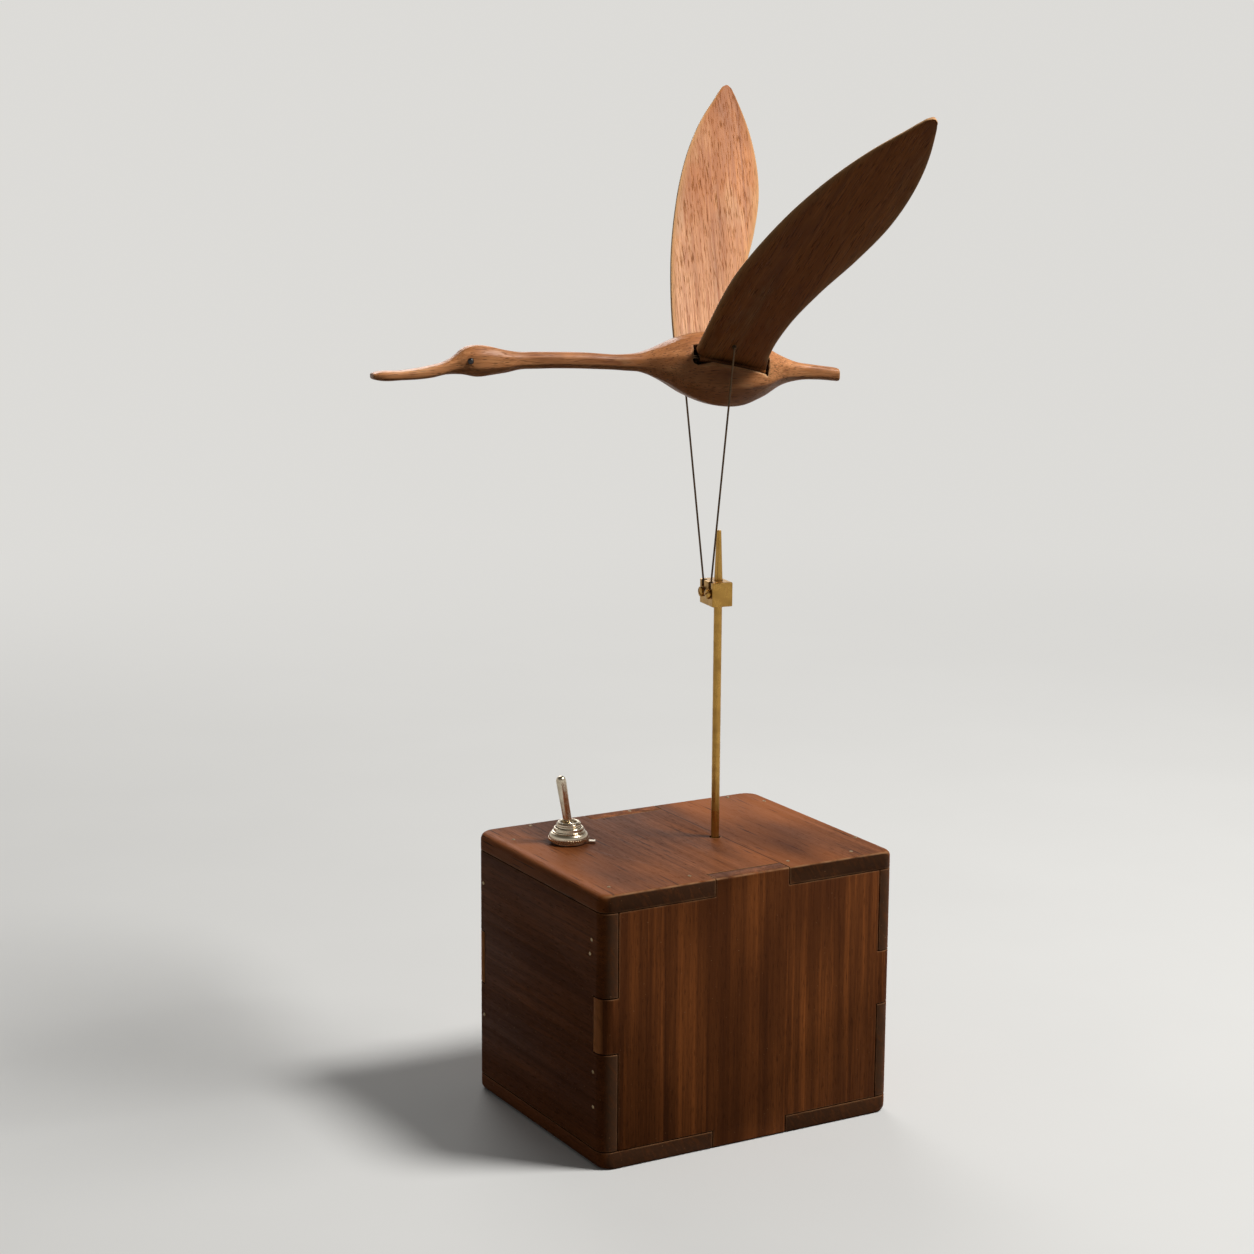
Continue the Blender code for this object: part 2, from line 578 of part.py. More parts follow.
def build_drive():
    """Battery tray, gear motor on its bracket, crank, link and the guide under the lid."""
    motor_place = Matrix.Translation((ROD_X, 0.0, SHAFT_Z)) @ Matrix.Rotation(math.pi / 2, 4, "X")

    low = (ROD_X - BRACKET_WIDTH / 2, BRACKET_FRONT, FLOOR)
    high = (ROD_X + BRACKET_WIDTH / 2, BRACKET_FRONT + BRACKET_PLATE, FLOOR + BRACKET_HEIGHT)
    bracket = add("motor_bracket", block_mesh("motor_bracket", low, high), MOTOR_STEEL)
    high = (ROD_X + BRACKET_WIDTH / 2, BRACKET_FRONT + BRACKET_FOOT, FLOOR + BRACKET_PLATE)
    boolean(bracket, add("bracket_foot", block_mesh("bracket_foot", low, high)), "UNION")
    window = round_mesh("bracket_window", BOSS_RADIUS + FIT, BRACKET_FRONT - TRIM,
                        BRACKET_FRONT + BRACKET_PLATE + TRIM, "Y", (ROD_X, SHAFT_Z))
    boolean(bracket, add("bracket_window", window))

    gear_back = GEARBOX_FRONT + GEARBOX_LENGTH
    bore = SHAFT_RADIUS + FIT
    seat = GEARBOX_FRONT + SHAFT_SEAT
    turned("gearbox", [
        (0.0, -seat), (bore, -seat), (bore, -BRACKET_FRONT), (BOSS_RADIUS, -BRACKET_FRONT),
        (BOSS_RADIUS, -GEARBOX_FRONT), (GEARBOX_RADIUS, -GEARBOX_FRONT), (GEARBOX_RADIUS, -gear_back),
        (0.0, -gear_back),
    ], MOTOR_STEEL, place=motor_place)
    motor_back = MOTOR_FRONT + MOTOR_LENGTH
    turned("gear_motor", [
        (0.0, -MOTOR_FRONT), (MOTOR_RADIUS, -MOTOR_FRONT), (MOTOR_RADIUS, MOTOR_END_ROUND - motor_back),
        (MOTOR_RADIUS - MOTOR_END_ROUND, -motor_back), (0.0, -motor_back),
    ], MOTOR_STEEL, place=motor_place)

    crank_axis = frame("crank_axis", None, (ROD_X, ROD_Y, SHAFT_Z))
    disc_near = DISC_FRONT - ROD_Y
    disc_far = DISC_BACK - ROD_Y
    disc = add("crank_disc", round_mesh("crank_disc", CRANK_DISC_RADIUS, disc_near, disc_far, "Y"), BRASS,
               crank_axis)
    eye = round_mesh("disc_eye", SHAFT_RADIUS + FIT, disc_near - TRIM, disc_far + TRIM, "Y")
    boolean(disc, add("disc_eye", eye, parent=crank_axis))
    shaft = round_mesh("output_shaft", SHAFT_RADIUS, disc_near, seat - FIT - ROD_Y, "Y", steps=SMALL_STEPS)
    add("output_shaft", shaft, MOTOR_STEEL, crank_axis)

    link_axis = frame("link_axis", None, (ROD_X, ROD_Y, WRIST_Z))
    half = LINK_WIDTH / 2
    spread = math.asin(half / LINK_EYE_RADIUS)
    top_eye = arc((0.0, 0.0), LINK_EYE_RADIUS, spread - math.pi / 2, 1.5 * math.pi - spread, 14)
    low_eye = arc((0.0, -LINK_LENGTH), LINK_EYE_RADIUS, math.pi / 2 + spread, 2.5 * math.pi - spread, 14)
    link_mesh = sheet_mesh("connecting_link", top_eye + low_eye, LINK_THICKNESS)
    link = add("connecting_link", link_mesh, BRASS, link_axis, Matrix.Rotation(math.pi / 2, 4, "X"))
    for name, radius, height in (("wrist_eye", WRIST_PIN_RADIUS, 0.0),
                                 ("crank_eye", CRANK_PIN_RADIUS, -LINK_LENGTH)):
        hole = round_mesh(name, radius + FIT, -LINK_THICKNESS, LINK_THICKNESS, "Y", (0.0, height), SMALL_STEPS)
        boolean(link, add(name, hole, parent=link_axis))
    pin_end = LINK_THICKNESS / 2 + CRANK_PIN_STANDOFF - FIT
    pin = round_mesh("crank_pin", CRANK_PIN_RADIUS, -LINK_THICKNESS, pin_end, "Y", (0.0, -LINK_LENGTH),
                     SMALL_STEPS)
    add("crank_pin", pin, MOTOR_STEEL, link_axis)

    guide_top = LID_UNDERSIDE - FIT
    guide_foot = guide_top - GUIDE_LENGTH
    guide_bore = ROD_RADIUS + FIT
    turned("rod_guide_bush", [
        (guide_bore, guide_top), (GUIDE_FLANGE_RADIUS, guide_top),
        (GUIDE_FLANGE_RADIUS, guide_top - GUIDE_FLANGE), (GUIDE_RADIUS, guide_top - GUIDE_FLANGE),
        (GUIDE_RADIUS, guide_foot), (guide_bore, guide_foot),
    ], BRASS, place=Matrix.Translation((ROD_X, ROD_Y, 0.0)))


def build_batteries():
    """An open tray on the floor with two cells side by side, turned end for end."""
    inside_x = 2 * CELL_RADIUS + 1.5 * FIT
    inside_y = CELL_LENGTH / 2 + TRAY_END_ROOM
    outside_x = inside_x + TRAY_WALL
    outside_y = inside_y + TRAY_WALL
    place = Matrix.Translation((-BOX_WIDTH / 2 + BOARD + TRAY_GAP + outside_x, 0.0, FLOOR))
    tray = add("battery_holder", block_mesh("battery_holder", (-outside_x, -outside_y, 0.0),
               (outside_x, outside_y, TRAY_DEPTH)), BLACK_PLASTIC, place=place)
    hollow = block_mesh("tray_hollow", (-inside_x, -inside_y, TRAY_WALL),
                        (inside_x, inside_y, TRAY_DEPTH + TRIM))
    boolean(tray, add("tray_hollow", hollow, place=place))
    ends = CELL_LENGTH / 2
    cell = [(0.0, ends + CELL_NUB_LENGTH), (CELL_NUB_RADIUS, ends + CELL_NUB_LENGTH), (CELL_NUB_RADIUS, ends),
            (CELL_RADIUS, ends), (CELL_RADIUS, -ends), (0.0, -ends)]
    for name, side in (("battery_left", -1), ("battery_right", 1)):
        middle = Matrix.Translation((side * (CELL_RADIUS + FIT / 2), 0.0, TRAY_WALL + FIT + CELL_RADIUS))
        turned(name, cell, CELL_SLEEVE, place=place @ middle @ Matrix.Rotation(side * math.pi / 2, 4, "X"))


def build_lift():
    """Rod with its clevis and wrist pin, and the clamp block with two screws."""
    lift = frame("lift_axis", None, (ROD_X, ROD_Y, 0.0), (0.0, 0.0, HEADING))
    rod_foot = CLEVIS_BASE + CLEVIS_SLOT_HEIGHT + FIT
    turned("lift_rod", [
        (0.0, ROD_TOP), (ROD_TIP_RADIUS, ROD_TOP), (ROD_RADIUS, ROD_TOP - ROD_TAPER), (ROD_RADIUS, rod_foot),
        (0.0, rod_foot),
    ], BRASS, lift, steps=24)

    straight = Matrix.Rotation(-HEADING, 4, "Z")
    clevis_top = CLEVIS_BASE + CLEVIS_HEIGHT
    clevis_mesh = round_mesh("rod_clevis", CLEVIS_RADIUS, CLEVIS_BASE, clevis_top)
    clevis = add("rod_clevis", clevis_mesh, BRASS, lift, straight)
    gap = LINK_THICKNESS / 2 + FIT
    slot = block_mesh("clevis_slot", (-2 * CLEVIS_RADIUS, -gap, CLEVIS_BASE - TRIM),
                      (2 * CLEVIS_RADIUS, gap, CLEVIS_BASE + CLEVIS_SLOT_HEIGHT))
    socket = round_mesh("clevis_socket", ROD_RADIUS + FIT, CLEVIS_BASE + CLEVIS_SLOT_HEIGHT - TRIM,
                        clevis_top + TRIM)
    wrist = round_mesh("clevis_wrist", WRIST_PIN_RADIUS + FIT, -2 * CLEVIS_RADIUS, 2 * CLEVIS_RADIUS, "Y",
                       (0.0, WRIST_Z), SMALL_STEPS)
    for name, mesh in (("clevis_slot", slot), ("clevis_socket", socket), ("clevis_wrist", wrist)):
        boolean(clevis, add(name, mesh, parent=lift, place=straight))
    wrist_pin = round_mesh("wrist_pin", WRIST_PIN_RADIUS, -CLEVIS_RADIUS, CLEVIS_RADIUS, "Y", (0.0, WRIST_Z),
                           SMALL_STEPS)
    add("wrist_pin", wrist_pin, MOTOR_STEEL, lift, straight)

    near_x = BLOCK_SHIFT - BLOCK_LENGTH / 2
    far_x = BLOCK_SHIFT + BLOCK_LENGTH / 2
    half_y = BLOCK_WIDTH / 2
    block = add("clamp_block", block_mesh("clamp_block", (near_x, -half_y, BLOCK_BASE),
                (far_x, half_y, BLOCK_TOP)), BRASS, lift)
    worn = block.modifiers.new("worn_edges", "BEVEL")
    worn.width = BLOCK_ROUND
    worn.segments = 2
    eye = round_mesh("block_eye", ROD_RADIUS + FIT, BLOCK_BASE - TRIM, BLOCK_TOP + TRIM)
    boolean(block, add("block_eye", eye, parent=lift))

    wire_x = near_x + WIRE_INSET
    screw_z = BLOCK_TOP - SCREW_DROP
    for side, name in ((-1, "left"), (1, "right")):
        wire_y = side * WIRE_SPACING / 2
        room = WIRE_RADIUS + WIRE_NOTCH_GAP
        notch_floor = BLOCK_TOP - WIRE_SEAT - 2 * FIT
        notch = block_mesh(f"wire_notch_{name}", (near_x - TRIM, wire_y - room, notch_floor),
                           (wire_x + room, wire_y + room, BLOCK_TOP + TRIM))
        boolean(block, add(f"wire_notch_{name}", notch, parent=lift))
        screw_y = side * SCREW_SPACING / 2
        hole = round_mesh(f"screw_hole_{name}", SCREW_SHANK_RADIUS + FIT, near_x - TRIM, near_x + SCREW_REACH,
                          "X", (screw_y, screw_z), SMALL_STEPS)
        boolean(block, add(f"screw_hole_{name}", hole, parent=lift))
        crown = SCREW_HEAD_HEIGHT * 0.35
        place = Matrix.Translation((near_x - FIT, screw_y, screw_z)) @ Matrix.Rotation(-math.pi / 2, 4, "Y")
        screw = turned(f"clamp_screw_{name}", [
            (0.0, SCREW_HEAD_HEIGHT), (SCREW_HEAD_RADIUS * 0.6, SCREW_HEAD_HEIGHT - crown * 0.2),
            (SCREW_HEAD_RADIUS, SCREW_HEAD_HEIGHT - crown), (SCREW_HEAD_RADIUS, 0.0), (SCREW_SHANK_RADIUS, 0.0),
            (SCREW_SHANK_RADIUS, -SCREW_REACH), (0.0, -SCREW_REACH),
        ], BRASS, lift, place, SMALL_STEPS)
        low = (-2 * SCREW_HEAD_RADIUS, -SCREW_SLOT / 2, SCREW_HEAD_HEIGHT / 2)
        high = (2 * SCREW_HEAD_RADIUS, SCREW_SLOT / 2, SCREW_HEAD_HEIGHT + TRIM)
        groove = block_mesh(f"screw_slot_{name}", low, high)
        boolean(screw, add(f"screw_slot_{name}", groove, parent=lift, place=place))
    return lift


def body_mesh():
    """Bill, head, neck, body and tail as one skin of superellipse rings along the bird."""
    rows = np.array(BODY_SECTIONS) * MM
    along = np.concatenate([np.linspace(a, b, 3, endpoint=False) for a, b in zip(rows[:-1, 0], rows[1:, 0])])
    along = np.append(along, rows[-1, 0])
    middle, tall, wide = (smooth_curve(rows[:, 0], rows[:, i], along) for i in (1, 2, 3))
    ring_y, ring_z = superellipse(BODY_RING, BODY_SQUARENESS)
    rings = np.stack([np.repeat(along[:, None], BODY_RING, 1), wide[:, None] * ring_y,
                      middle[:, None] + tall[:, None] * ring_z], axis=-1)
    return loft_mesh("bird_body", rings)


def wing_mesh(name, side):
    """A thin lens section carried out along the span between the leading and trailing edges.

    The two wings are carved by hand, so each edge also bows by half a sine wave of its own depth.
    """
    rows = np.array(WING_OUTLINE) * MM
    out = WING_SPAN * (1 - (1 - np.linspace(0.0, 1.0, 30)) ** 1.35)
    lead_bow, trail_bow = WING_BOW[side]
    bow = np.sin(np.pi * out / WING_SPAN)
    lead = smooth_curve(rows[:, 0], rows[:, 1], out) + lead_bow * bow
    trail = smooth_curve(rows[:, 0], rows[:, 2], out) + trail_bow * bow
    thick = WING_ROOT_THICKNESS + (WING_TIP_THICKNESS - WING_ROOT_THICKNESS) * out / WING_SPAN
    chord, lens = superellipse(WING_RING, WING_SQUARENESS)
    rings = np.stack([(lead + trail)[:, None] / 2 + (trail - lead)[:, None] / 2 * chord,
                      np.repeat(side * out[:, None], WING_RING, 1), thick[:, None] / 2 * lens], axis=-1)
    return loft_mesh(name, rings)


def pocket_wedge(name, side, rise):
    """The swept room of one wing: from its lowest to its highest pose, along the pocket's length."""
    lowest = rise - FLAP_DOWN - FLAP_MARGIN
    highest = rise + FLAP_UP + FLAP_MARGIN
    gap = WING_ROOT_THICKNESS / 2 + POCKET_GAP
    reach = 4 * HINGE_OUT
    flat = []
    for angle, offset in ((lowest, -gap), (highest, gap)):
        foot = np.array((-math.sin(angle), math.cos(angle))) * offset
        tip = foot + reach * np.array((math.cos(angle), math.sin(angle)))
        flat.append((foot, tip))
    (low_foot, low_tip), (high_foot, high_tip) = flat
    outline = np.array([low_foot, low_tip, 1.2 * (low_tip + high_tip) / 2, high_tip, high_foot])
    ends = (ROOT_FRONT - POCKET_FRONT_GAP, ROOT_REAR + POCKET_REAR_GAP)
    rings = np.stack([np.column_stack([np.full(len(outline), end), side * outline[:, 0], outline[:, 1]])
                      for end in ends])
    return loft_mesh(name, rings)


def build_bird(lift):
    """Body, eyes, hinge pins, wings, and the wires from the wings down to the block."""
    bird = frame("bird_frame", lift, (0.0, 0.0, HINGE_Z))
    body = add("bird_body", body_mesh(), BIRD_WOOD, bird)
    pin_ends = (ROOT_FRONT - POCKET_FRONT_GAP - PIN_SEAT, ROOT_REAR + POCKET_REAR_GAP + PIN_SEAT)
    pocket_ends = (ROOT_FRONT - POCKET_FRONT_GAP, ROOT_REAR + POCKET_REAR_GAP)
    for side, name, rise, hook_along in ((-1, "left", LEFT_WING_RISE, LEFT_HOOK_ALONG),
                                         (1, "right", RIGHT_WING_RISE, RIGHT_HOOK_ALONG)):
        hinge = frame(f"{name}_hinge", bird, (0.0, side * HINGE_OUT, 0.0), (0.0, HINGE_PITCH, 0.0))
        barrel = round_mesh(f"{name}_pocket", KNUCKLE_RADIUS + POCKET_GAP, pocket_ends[0] - FIT,
                            pocket_ends[1] + FIT, "X")
        boolean(body, add(f"{name}_pocket", barrel, parent=hinge))
        wedge = pocket_wedge(f"{name}_sweep", side, rise)
        boolean(body, add(f"{name}_sweep", wedge, parent=hinge))
        seat = round_mesh(f"{name}_pin_seat", PIN_RADIUS + FIT, pin_ends[0] - FIT, pin_ends[1] + FIT, "X",
                          steps=SMALL_STEPS)
        boolean(body, add(f"{name}_pin_seat", seat, parent=hinge))
        pin = round_mesh(f"{name}_hinge_pin", PIN_RADIUS, *pin_ends, "X", steps=SMALL_STEPS)
        add(f"{name}_hinge_pin", pin, STEEL, hinge)

        wing_frame = frame(f"{name}_wing_axis", hinge, (0.0, 0.0, 0.0), (side * rise, 0.0, 0.0))
        wing = add(f"{name}_wing", wing_mesh(f"{name}_wing", side), BIRD_WOOD, wing_frame)
        knuckle = round_mesh(f"{name}_knuckle", KNUCKLE_RADIUS, ROOT_FRONT, ROOT_REAR, "X", steps=24)
        boolean(wing, add(f"{name}_knuckle", knuckle, parent=wing_frame), "UNION")
        bore = round_mesh(f"{name}_bore", PIN_RADIUS + FIT, ROOT_FRONT - TRIM, ROOT_REAR + TRIM, "X",
                          steps=SMALL_STEPS)
        boolean(wing, add(f"{name}_bore", bore, parent=wing_frame))

        eye_place = Matrix.Translation((EYE_ALONG, side * EYE_OUT, EYE_HEIGHT))
        eye_socket = add(f"{name}_eye_socket", ball_mesh("eye_socket", EYE_RADIUS + FIT), parent=bird,
                         place=eye_place)
        boolean(body, eye_socket)
        add(f"{name}_eye", ball_mesh("eye", EYE_RADIUS), BLACK_BEAD, bird, eye_place)
        build_wire(name, side, rise, hook_along, lift)


def ball_mesh(name, radius):
    shape = bmesh.new()
    bmesh.ops.create_uvsphere(shape, u_segments=14, v_segments=10, radius=radius)
    return smooth_shaded(from_bmesh(name, shape))


def hook_point(side, rise, hook_along):
    """Where a wire's top pivots, just under its wing, in the lift frame."""
    under = WING_ROOT_THICKNESS / 2 + FIT + WIRE_RADIUS
    out = HOOK_OUT * math.cos(rise) + under * math.sin(rise)
    up = HOOK_OUT * math.sin(rise) - under * math.cos(rise)
    back = hook_along * math.cos(HINGE_PITCH) + up * math.sin(HINGE_PITCH)
    height = up * math.cos(HINGE_PITCH) - hook_along * math.sin(HINGE_PITCH)
    return np.array((back, side * (HINGE_OUT + out), HINGE_Z + height))


def build_wire(name, side, rise, hook_along, lift):
    """A straight spring wire from the hook under the wing to its seat in the block."""
    top = hook_point(side, rise, hook_along)
    near_x = BLOCK_SHIFT - BLOCK_LENGTH / 2
    foot = np.array((near_x + WIRE_INSET, side * WIRE_SPACING / 2, BLOCK_TOP - WIRE_SEAT))
    curve = bpy.data.curves.new(f"{name}_wire", "CURVE")
    curve.dimensions = "3D"
    curve.bevel_depth = WIRE_RADIUS
    curve.bevel_resolution = 2
    curve.use_fill_caps = True
    spline = curve.splines.new("POLY")
    spline.points.add(1)
    for point, place in zip(spline.points, (np.zeros(3), foot - top)):
        point.co = (*place, 1.0)
    curve.materials.append(STEEL)
    wire = bpy.data.objects.new(f"{name}_wire", curve)
    wire.location = top
    wire.parent = lift
    parts.objects.link(wire)


build_box()
build_switch()
build_drive()
build_batteries()
build_bird(build_lift())
bpy.context.view_layer.update()
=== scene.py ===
"""Looks of a motor-driven flying bird: a carved bird on spring wires over a walnut box with a toggle switch.

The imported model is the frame. The drive, the clamp block, the hinge pins and the switch's lower parts keep
their CAD shapes and get finishes here. The boards are rounded copies of their CAD nodes. The bird, its wings,
the wires, the rod, the clamp's screws and the switch's turned parts are made again as fine surfaces. Lengths
are metres, X runs along the box's front, Y from front to back and Z up. The bird flies towards -X. Side is -1
for the bird's left and 1 for its right.
"""

import math

import bmesh
import bpy
import numpy as np
from mathutils import Matrix, Vector


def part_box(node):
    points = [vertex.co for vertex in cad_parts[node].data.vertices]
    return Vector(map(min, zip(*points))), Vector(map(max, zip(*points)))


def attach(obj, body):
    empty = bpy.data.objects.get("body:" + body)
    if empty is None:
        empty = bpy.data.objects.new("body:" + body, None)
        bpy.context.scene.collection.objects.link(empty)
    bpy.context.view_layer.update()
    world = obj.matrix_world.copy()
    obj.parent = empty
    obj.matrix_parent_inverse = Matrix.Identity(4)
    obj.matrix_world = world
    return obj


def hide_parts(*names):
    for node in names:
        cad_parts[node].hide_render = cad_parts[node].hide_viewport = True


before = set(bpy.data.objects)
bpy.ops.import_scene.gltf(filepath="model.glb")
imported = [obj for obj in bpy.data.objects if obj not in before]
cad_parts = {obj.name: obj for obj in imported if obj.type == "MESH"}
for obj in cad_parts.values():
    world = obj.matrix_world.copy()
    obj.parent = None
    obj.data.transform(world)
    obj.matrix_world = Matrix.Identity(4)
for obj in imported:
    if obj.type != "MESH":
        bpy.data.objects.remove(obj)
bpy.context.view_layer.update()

bl_info = {
    "name": "Flying bird on a walnut box",
    "version": (1, 0, 0),
    "blender": (4, 5, 0),
    "location": "View3D > Sidebar > Flying bird",
    "description": "Builds the finishes and fine shapes of a motor-driven flying bird",
    "category": "Object",
}

MM = 0.001
ORIGIN = (0.0, 0.0, 0.0)
QUARTER = math.pi / 2
SIDES = {-1: "left", 1: "right"}

# Camera of the photograph: place, aim as turns from +Y to +X, up, and about the view, and lens on a 36 mm frame
CAMERA_PLACE = (-0.50109, -0.83092, 0.37406)
CAMERA_YAW = math.radians(29.834)
CAMERA_PITCH = math.radians(-11.320)
CAMERA_ROLL = math.radians(0.372)
CAMERA_LENS = 78.47
CAMERA_FRAME = 36.0

# Lamps: place and disk width, and the point that they face. Then the heights of view between which the pale
# surround turns into the ceiling
KEY_LAMP = ((0.74, -0.60, 1.52), 0.5)
RIM_LAMP = ((0.40, 1.35, 0.95), 0.9)
LAMP_AIM = (0.0, 0.0, 0.19)
CEILING_RISE = (0.12, 0.75)

# Where the lift rod stands, the bird's heading, and the wings' hinges, as in the CAD
ROD_X = 12.8 * MM
ROD_Y = -1.2 * MM
HEADING = math.radians(-8.0)
HINGE_Z = 275.4 * MM
HINGE_OUT = 6.0 * MM
HINGE_PITCH = math.radians(12.0)
WING_RISE = {-1: math.radians(47.0), 1: math.radians(54.0)}
FLAP_DOWN = math.radians(27.5)
FLAP_UP = math.radians(12.5)

# Bird: rows of distance behind the rod, height above the hinge line, half height and half width, in mm
BODY_SECTIONS = (
    (-129.6, -0.65, 0.95, 2.3),
    (-128.0, -0.65, 1.35, 3.0),
    (-118.9, -0.65, 1.6, 3.4),
    (-109.0, 0.2, 2.0, 3.2),
    (-103.2, 1.4, 2.25, 3.0),
    (-100.0, 2.3, 3.2, 3.4),
    (-97.0, 3.3, 4.55, 4.1),
    (-92.6, 3.4, 5.55, 4.7),
    (-87.4, 3.3, 5.05, 4.5),
    (-82.0, 3.0, 4.05, 3.9),
    (-77.0, 3.0, 3.15, 3.2),
    (-70.0, 2.95, 3.0, 3.0),
    (-52.0, 2.25, 2.9, 2.95),
    (-38.0, 1.2, 2.9, 3.0),
    (-31.0, 1.0, 3.6, 3.8),
    (-24.0, 0.6, 6.2, 6.2),
    (-15.0, -0.6, 10.5, 9.2),
    (-4.0, -2.0, 13.4, 10.4),
    (6.0, -2.6, 13.3, 10.2),
    (15.0, -3.3, 9.6, 8.4),
    (22.0, -3.4, 5.8, 5.8),
    (29.0, -4.0, 3.4, 4.2),
    (37.0, -4.7, 2.6, 3.7),
    (45.3, -5.75, 2.4, 4.2),
)
BODY_AROUND = 96
BODY_STEPS = 16
BODY_END_EDGE = 0.3 * MM
BODY_SQUARENESS = 2.2
END_SQUARENESS = 1.4
BILL_FLATS = (100 * MM, 106 * MM)
TAIL_FLATS = (24 * MM, 36 * MM)
FACET_SHARE = 0.6
FACET_MEAN = 0.97
EYE_PLACE = (-95.5 * MM, 3.95 * MM, 3.8 * MM)
EYE_RADIUS = 1.15 * MM

# Wings: rows of distance out from the pin, leading edge and trailing edge, in mm
WING_OUTLINE = (
    (0.0, -15.2, 14.5),
    (9.0, -15.8, 12.3),
    (24.0, -16.3, 12.0),
    (42.0, -15.8, 15.2),
    (60.0, -13.4, 20.3),
    (78.0, -9.4, 23.9),
    (94.0, -4.0, 24.2),
    (108.0, 2.6, 22.3),
    (119.0, 9.3, 19.2),
    (123.4, 12.0, 17.6),
    (125.4, 13.6, 16.5),
    (126.0, 14.6, 15.6),
)
WING_BOW = {-1: (-1.4 * MM, 0.5 * MM), 1: (1.6 * MM, 0.8 * MM)}
WING_ROOT_THICKNESS = 2.5 * MM
WING_TIP_THICKNESS = 1.3 * MM
WING_AROUND = 88
WING_ROOT_RUN = 4.0 * MM
WING_SQUARENESS = 4.2
WING_CORNER = 2.0 * MM
WING_CORNER_END = 4.6 * MM
# Strength of the painted highlight on each wing's root: none on the near wing, strong on the far wing
ROOT_HIGHLIGHT = {-1: 0.0, 1: 0.8}
WING_ROOT_SHIFT = {-1: 1.3 * MM, 1: -0.5 * MM}
SHIFT_FADE = (8 * MM, 45 * MM)
ROOT_SQUARENESS = 14.0
SQUARE_FADE = (1.0 * MM, 7.0 * MM)
KNUCKLE_RADIUS = 2.2 * MM
PIN_BORE = 1.05 * MM
BORE_REACH = 20 * MM
POCKET_RADIUS = 2.7 * MM
POCKET_GAP = 1.75 * MM
POCKET_ENDS = {-1: (-14.9 * MM, 15.0 * MM), 1: (-16.7 * MM, 15.0 * MM)}
POCKET_ROUND = 2.4 * MM
POCKET_DROP = (2.2 * MM, 0.0)
POCKET_LIP = 4.0 * MM
BARREL_SPARE = 0.3 * MM

# Wires: their start above the seat in the clamp block, the seat, and the hook on each wing along the chord and
# out along the span, with its dome
WIRE_LIFT = 0.75 * MM
WIRE_FOOT = (-4.35 * MM, 3.1 * MM, 194.4 * MM)
HOOK_ALONG = {-1: -2.5 * MM, 1: -12.0 * MM}
HOOK_OUT = 10.0 * MM
HOOK_UNDER = 1.9 * MM
HOOK_RADIUS = 0.85 * MM
HOOK_HEIGHT = 0.16 * MM

# Toggle switch: axis, seats of its turned parts and the lever's lean
SWITCH_X = -38.2 * MM
SWITCH_Y = 18.2 * MM
SKIRT_BASE = 101.2 * MM
SKIRT_RADIUS = 7.6 * MM
COLLAR_TOP = 105.9 * MM
NUT_COLLAR_RADIUS = 5.5 * MM
NUT_LIP = 104.1 * MM
NUT_LIP_RADIUS = 6.1 * MM
DOME_BASE = 102.2 * MM
DOME_RADIUS = 7.25 * MM
BUSHING_RADIUS = 4.5 * MM
BUSHING_BORE = 3.0 * MM
BUSHING_TOP = 107.9 * MM
LEVER_PIVOT = 105.5 * MM
LEVER_LEAN = math.radians(-10.0)
LEVER_LENGTH = 20.2 * MM
LEVER_NECK = 1.6 * MM
LEVER_TIP = 1.85 * MM
LEVER_BALL = 2.7 * MM
NUT_BORE = 4.8 * MM
TOOTH_DEPTH = 0.5 * MM
TOOTH_POINTS = 8
THREAD_DEPTH = 0.07 * MM

# Lift rod and clamp screws
ROD_RADIUS = 1.5 * MM
ROD_TIP_RADIUS = 0.85 * MM
ROD_TAPER = 17.5 * MM
SCREW_FACE = -5.05 * MM
SCREW_OUT = 2.85 * MM
SCREW_Z = 192.0 * MM
SCREW_HEAD_RADIUS = 1.8 * MM
SCREW_HEAD_HEIGHT = 1.3 * MM
SCREW_SLOT = 0.5 * MM
SCREW_SHANK = 1.9 * MM
SLOT_TURN = {-1: 0.45, 1: -0.8}

# Box: corners in plan, edges at its left and right ends, edges at its front and back, how far all faces sit
# back, and the lid's seam: its X, and the half widths at which it is dark and at which it ends
CORNER_ROUND = 4.7 * MM
END_ROUND = 2.5 * MM
EDGE_ROUND = 0.8 * MM
FACE_TRIM = 0.02 * MM
LID_SEAM = 15.25 * MM
SEAM_LINE = (0.12 * MM, 0.35 * MM)

# Brads in the box, in mm: lid (X, Y), left and right faces (Y, Z), back face (X, Z)
LID_BRADS = ((-54.4, 30.8), (-53.2, -38.5), (-21.7, -40.4), (19.0, -41.1), (45.9, -41.6), (57.9, -26.9),
             (56.3, 33.1), (46.9, 44.7), (-40.0, 44.6), (3.0, 45.1))
SIDE_BRADS = ((-40.4, 82.7), (-39.3, 77.4), (-41.7, 35.0), (-41.8, 22.1), (42.4, 81.3), (42.0, 30.2))
BACK_BRADS = ((-55.4, 52.1), (55.0, 54.0), (-6.8, 96.6), (7.4, 96.9))

# Finishes: middle stop of the walnut's bands, how much walnut mirrors, and the carving's edges, painted shade
# in its hollows and gloss
MIDDLE_STOP = 0.55
WALNUT_GLOSS = 0.06
BODY_CARVING = {"edge_radius": 1.1 * MM, "grime": (6.0 * MM, 0.72, 0.42), "gloss": 0.2}
WING_CARVING = {"edge_radius": 0.4 * MM, "grime": (9.0 * MM, 0.80, 0.35), "gloss": 0.1}

# Metals that several pieces share: name, tarnish, roughness and other values of the finish
SHARED_METALS = {
    "brass": ("satin_brass", (0.30, 0.16, 0.04), 0.28, {}),
    "nickel": ("plated_nickel", (0.42, 0.34, 0.24), 0.16, {"stretch": 0.2, "relief": 0.02}),
    "wire": ("spring_wire", (0.03, 0.02, 0.012), 0.42, {"wear": 0.2}),
}

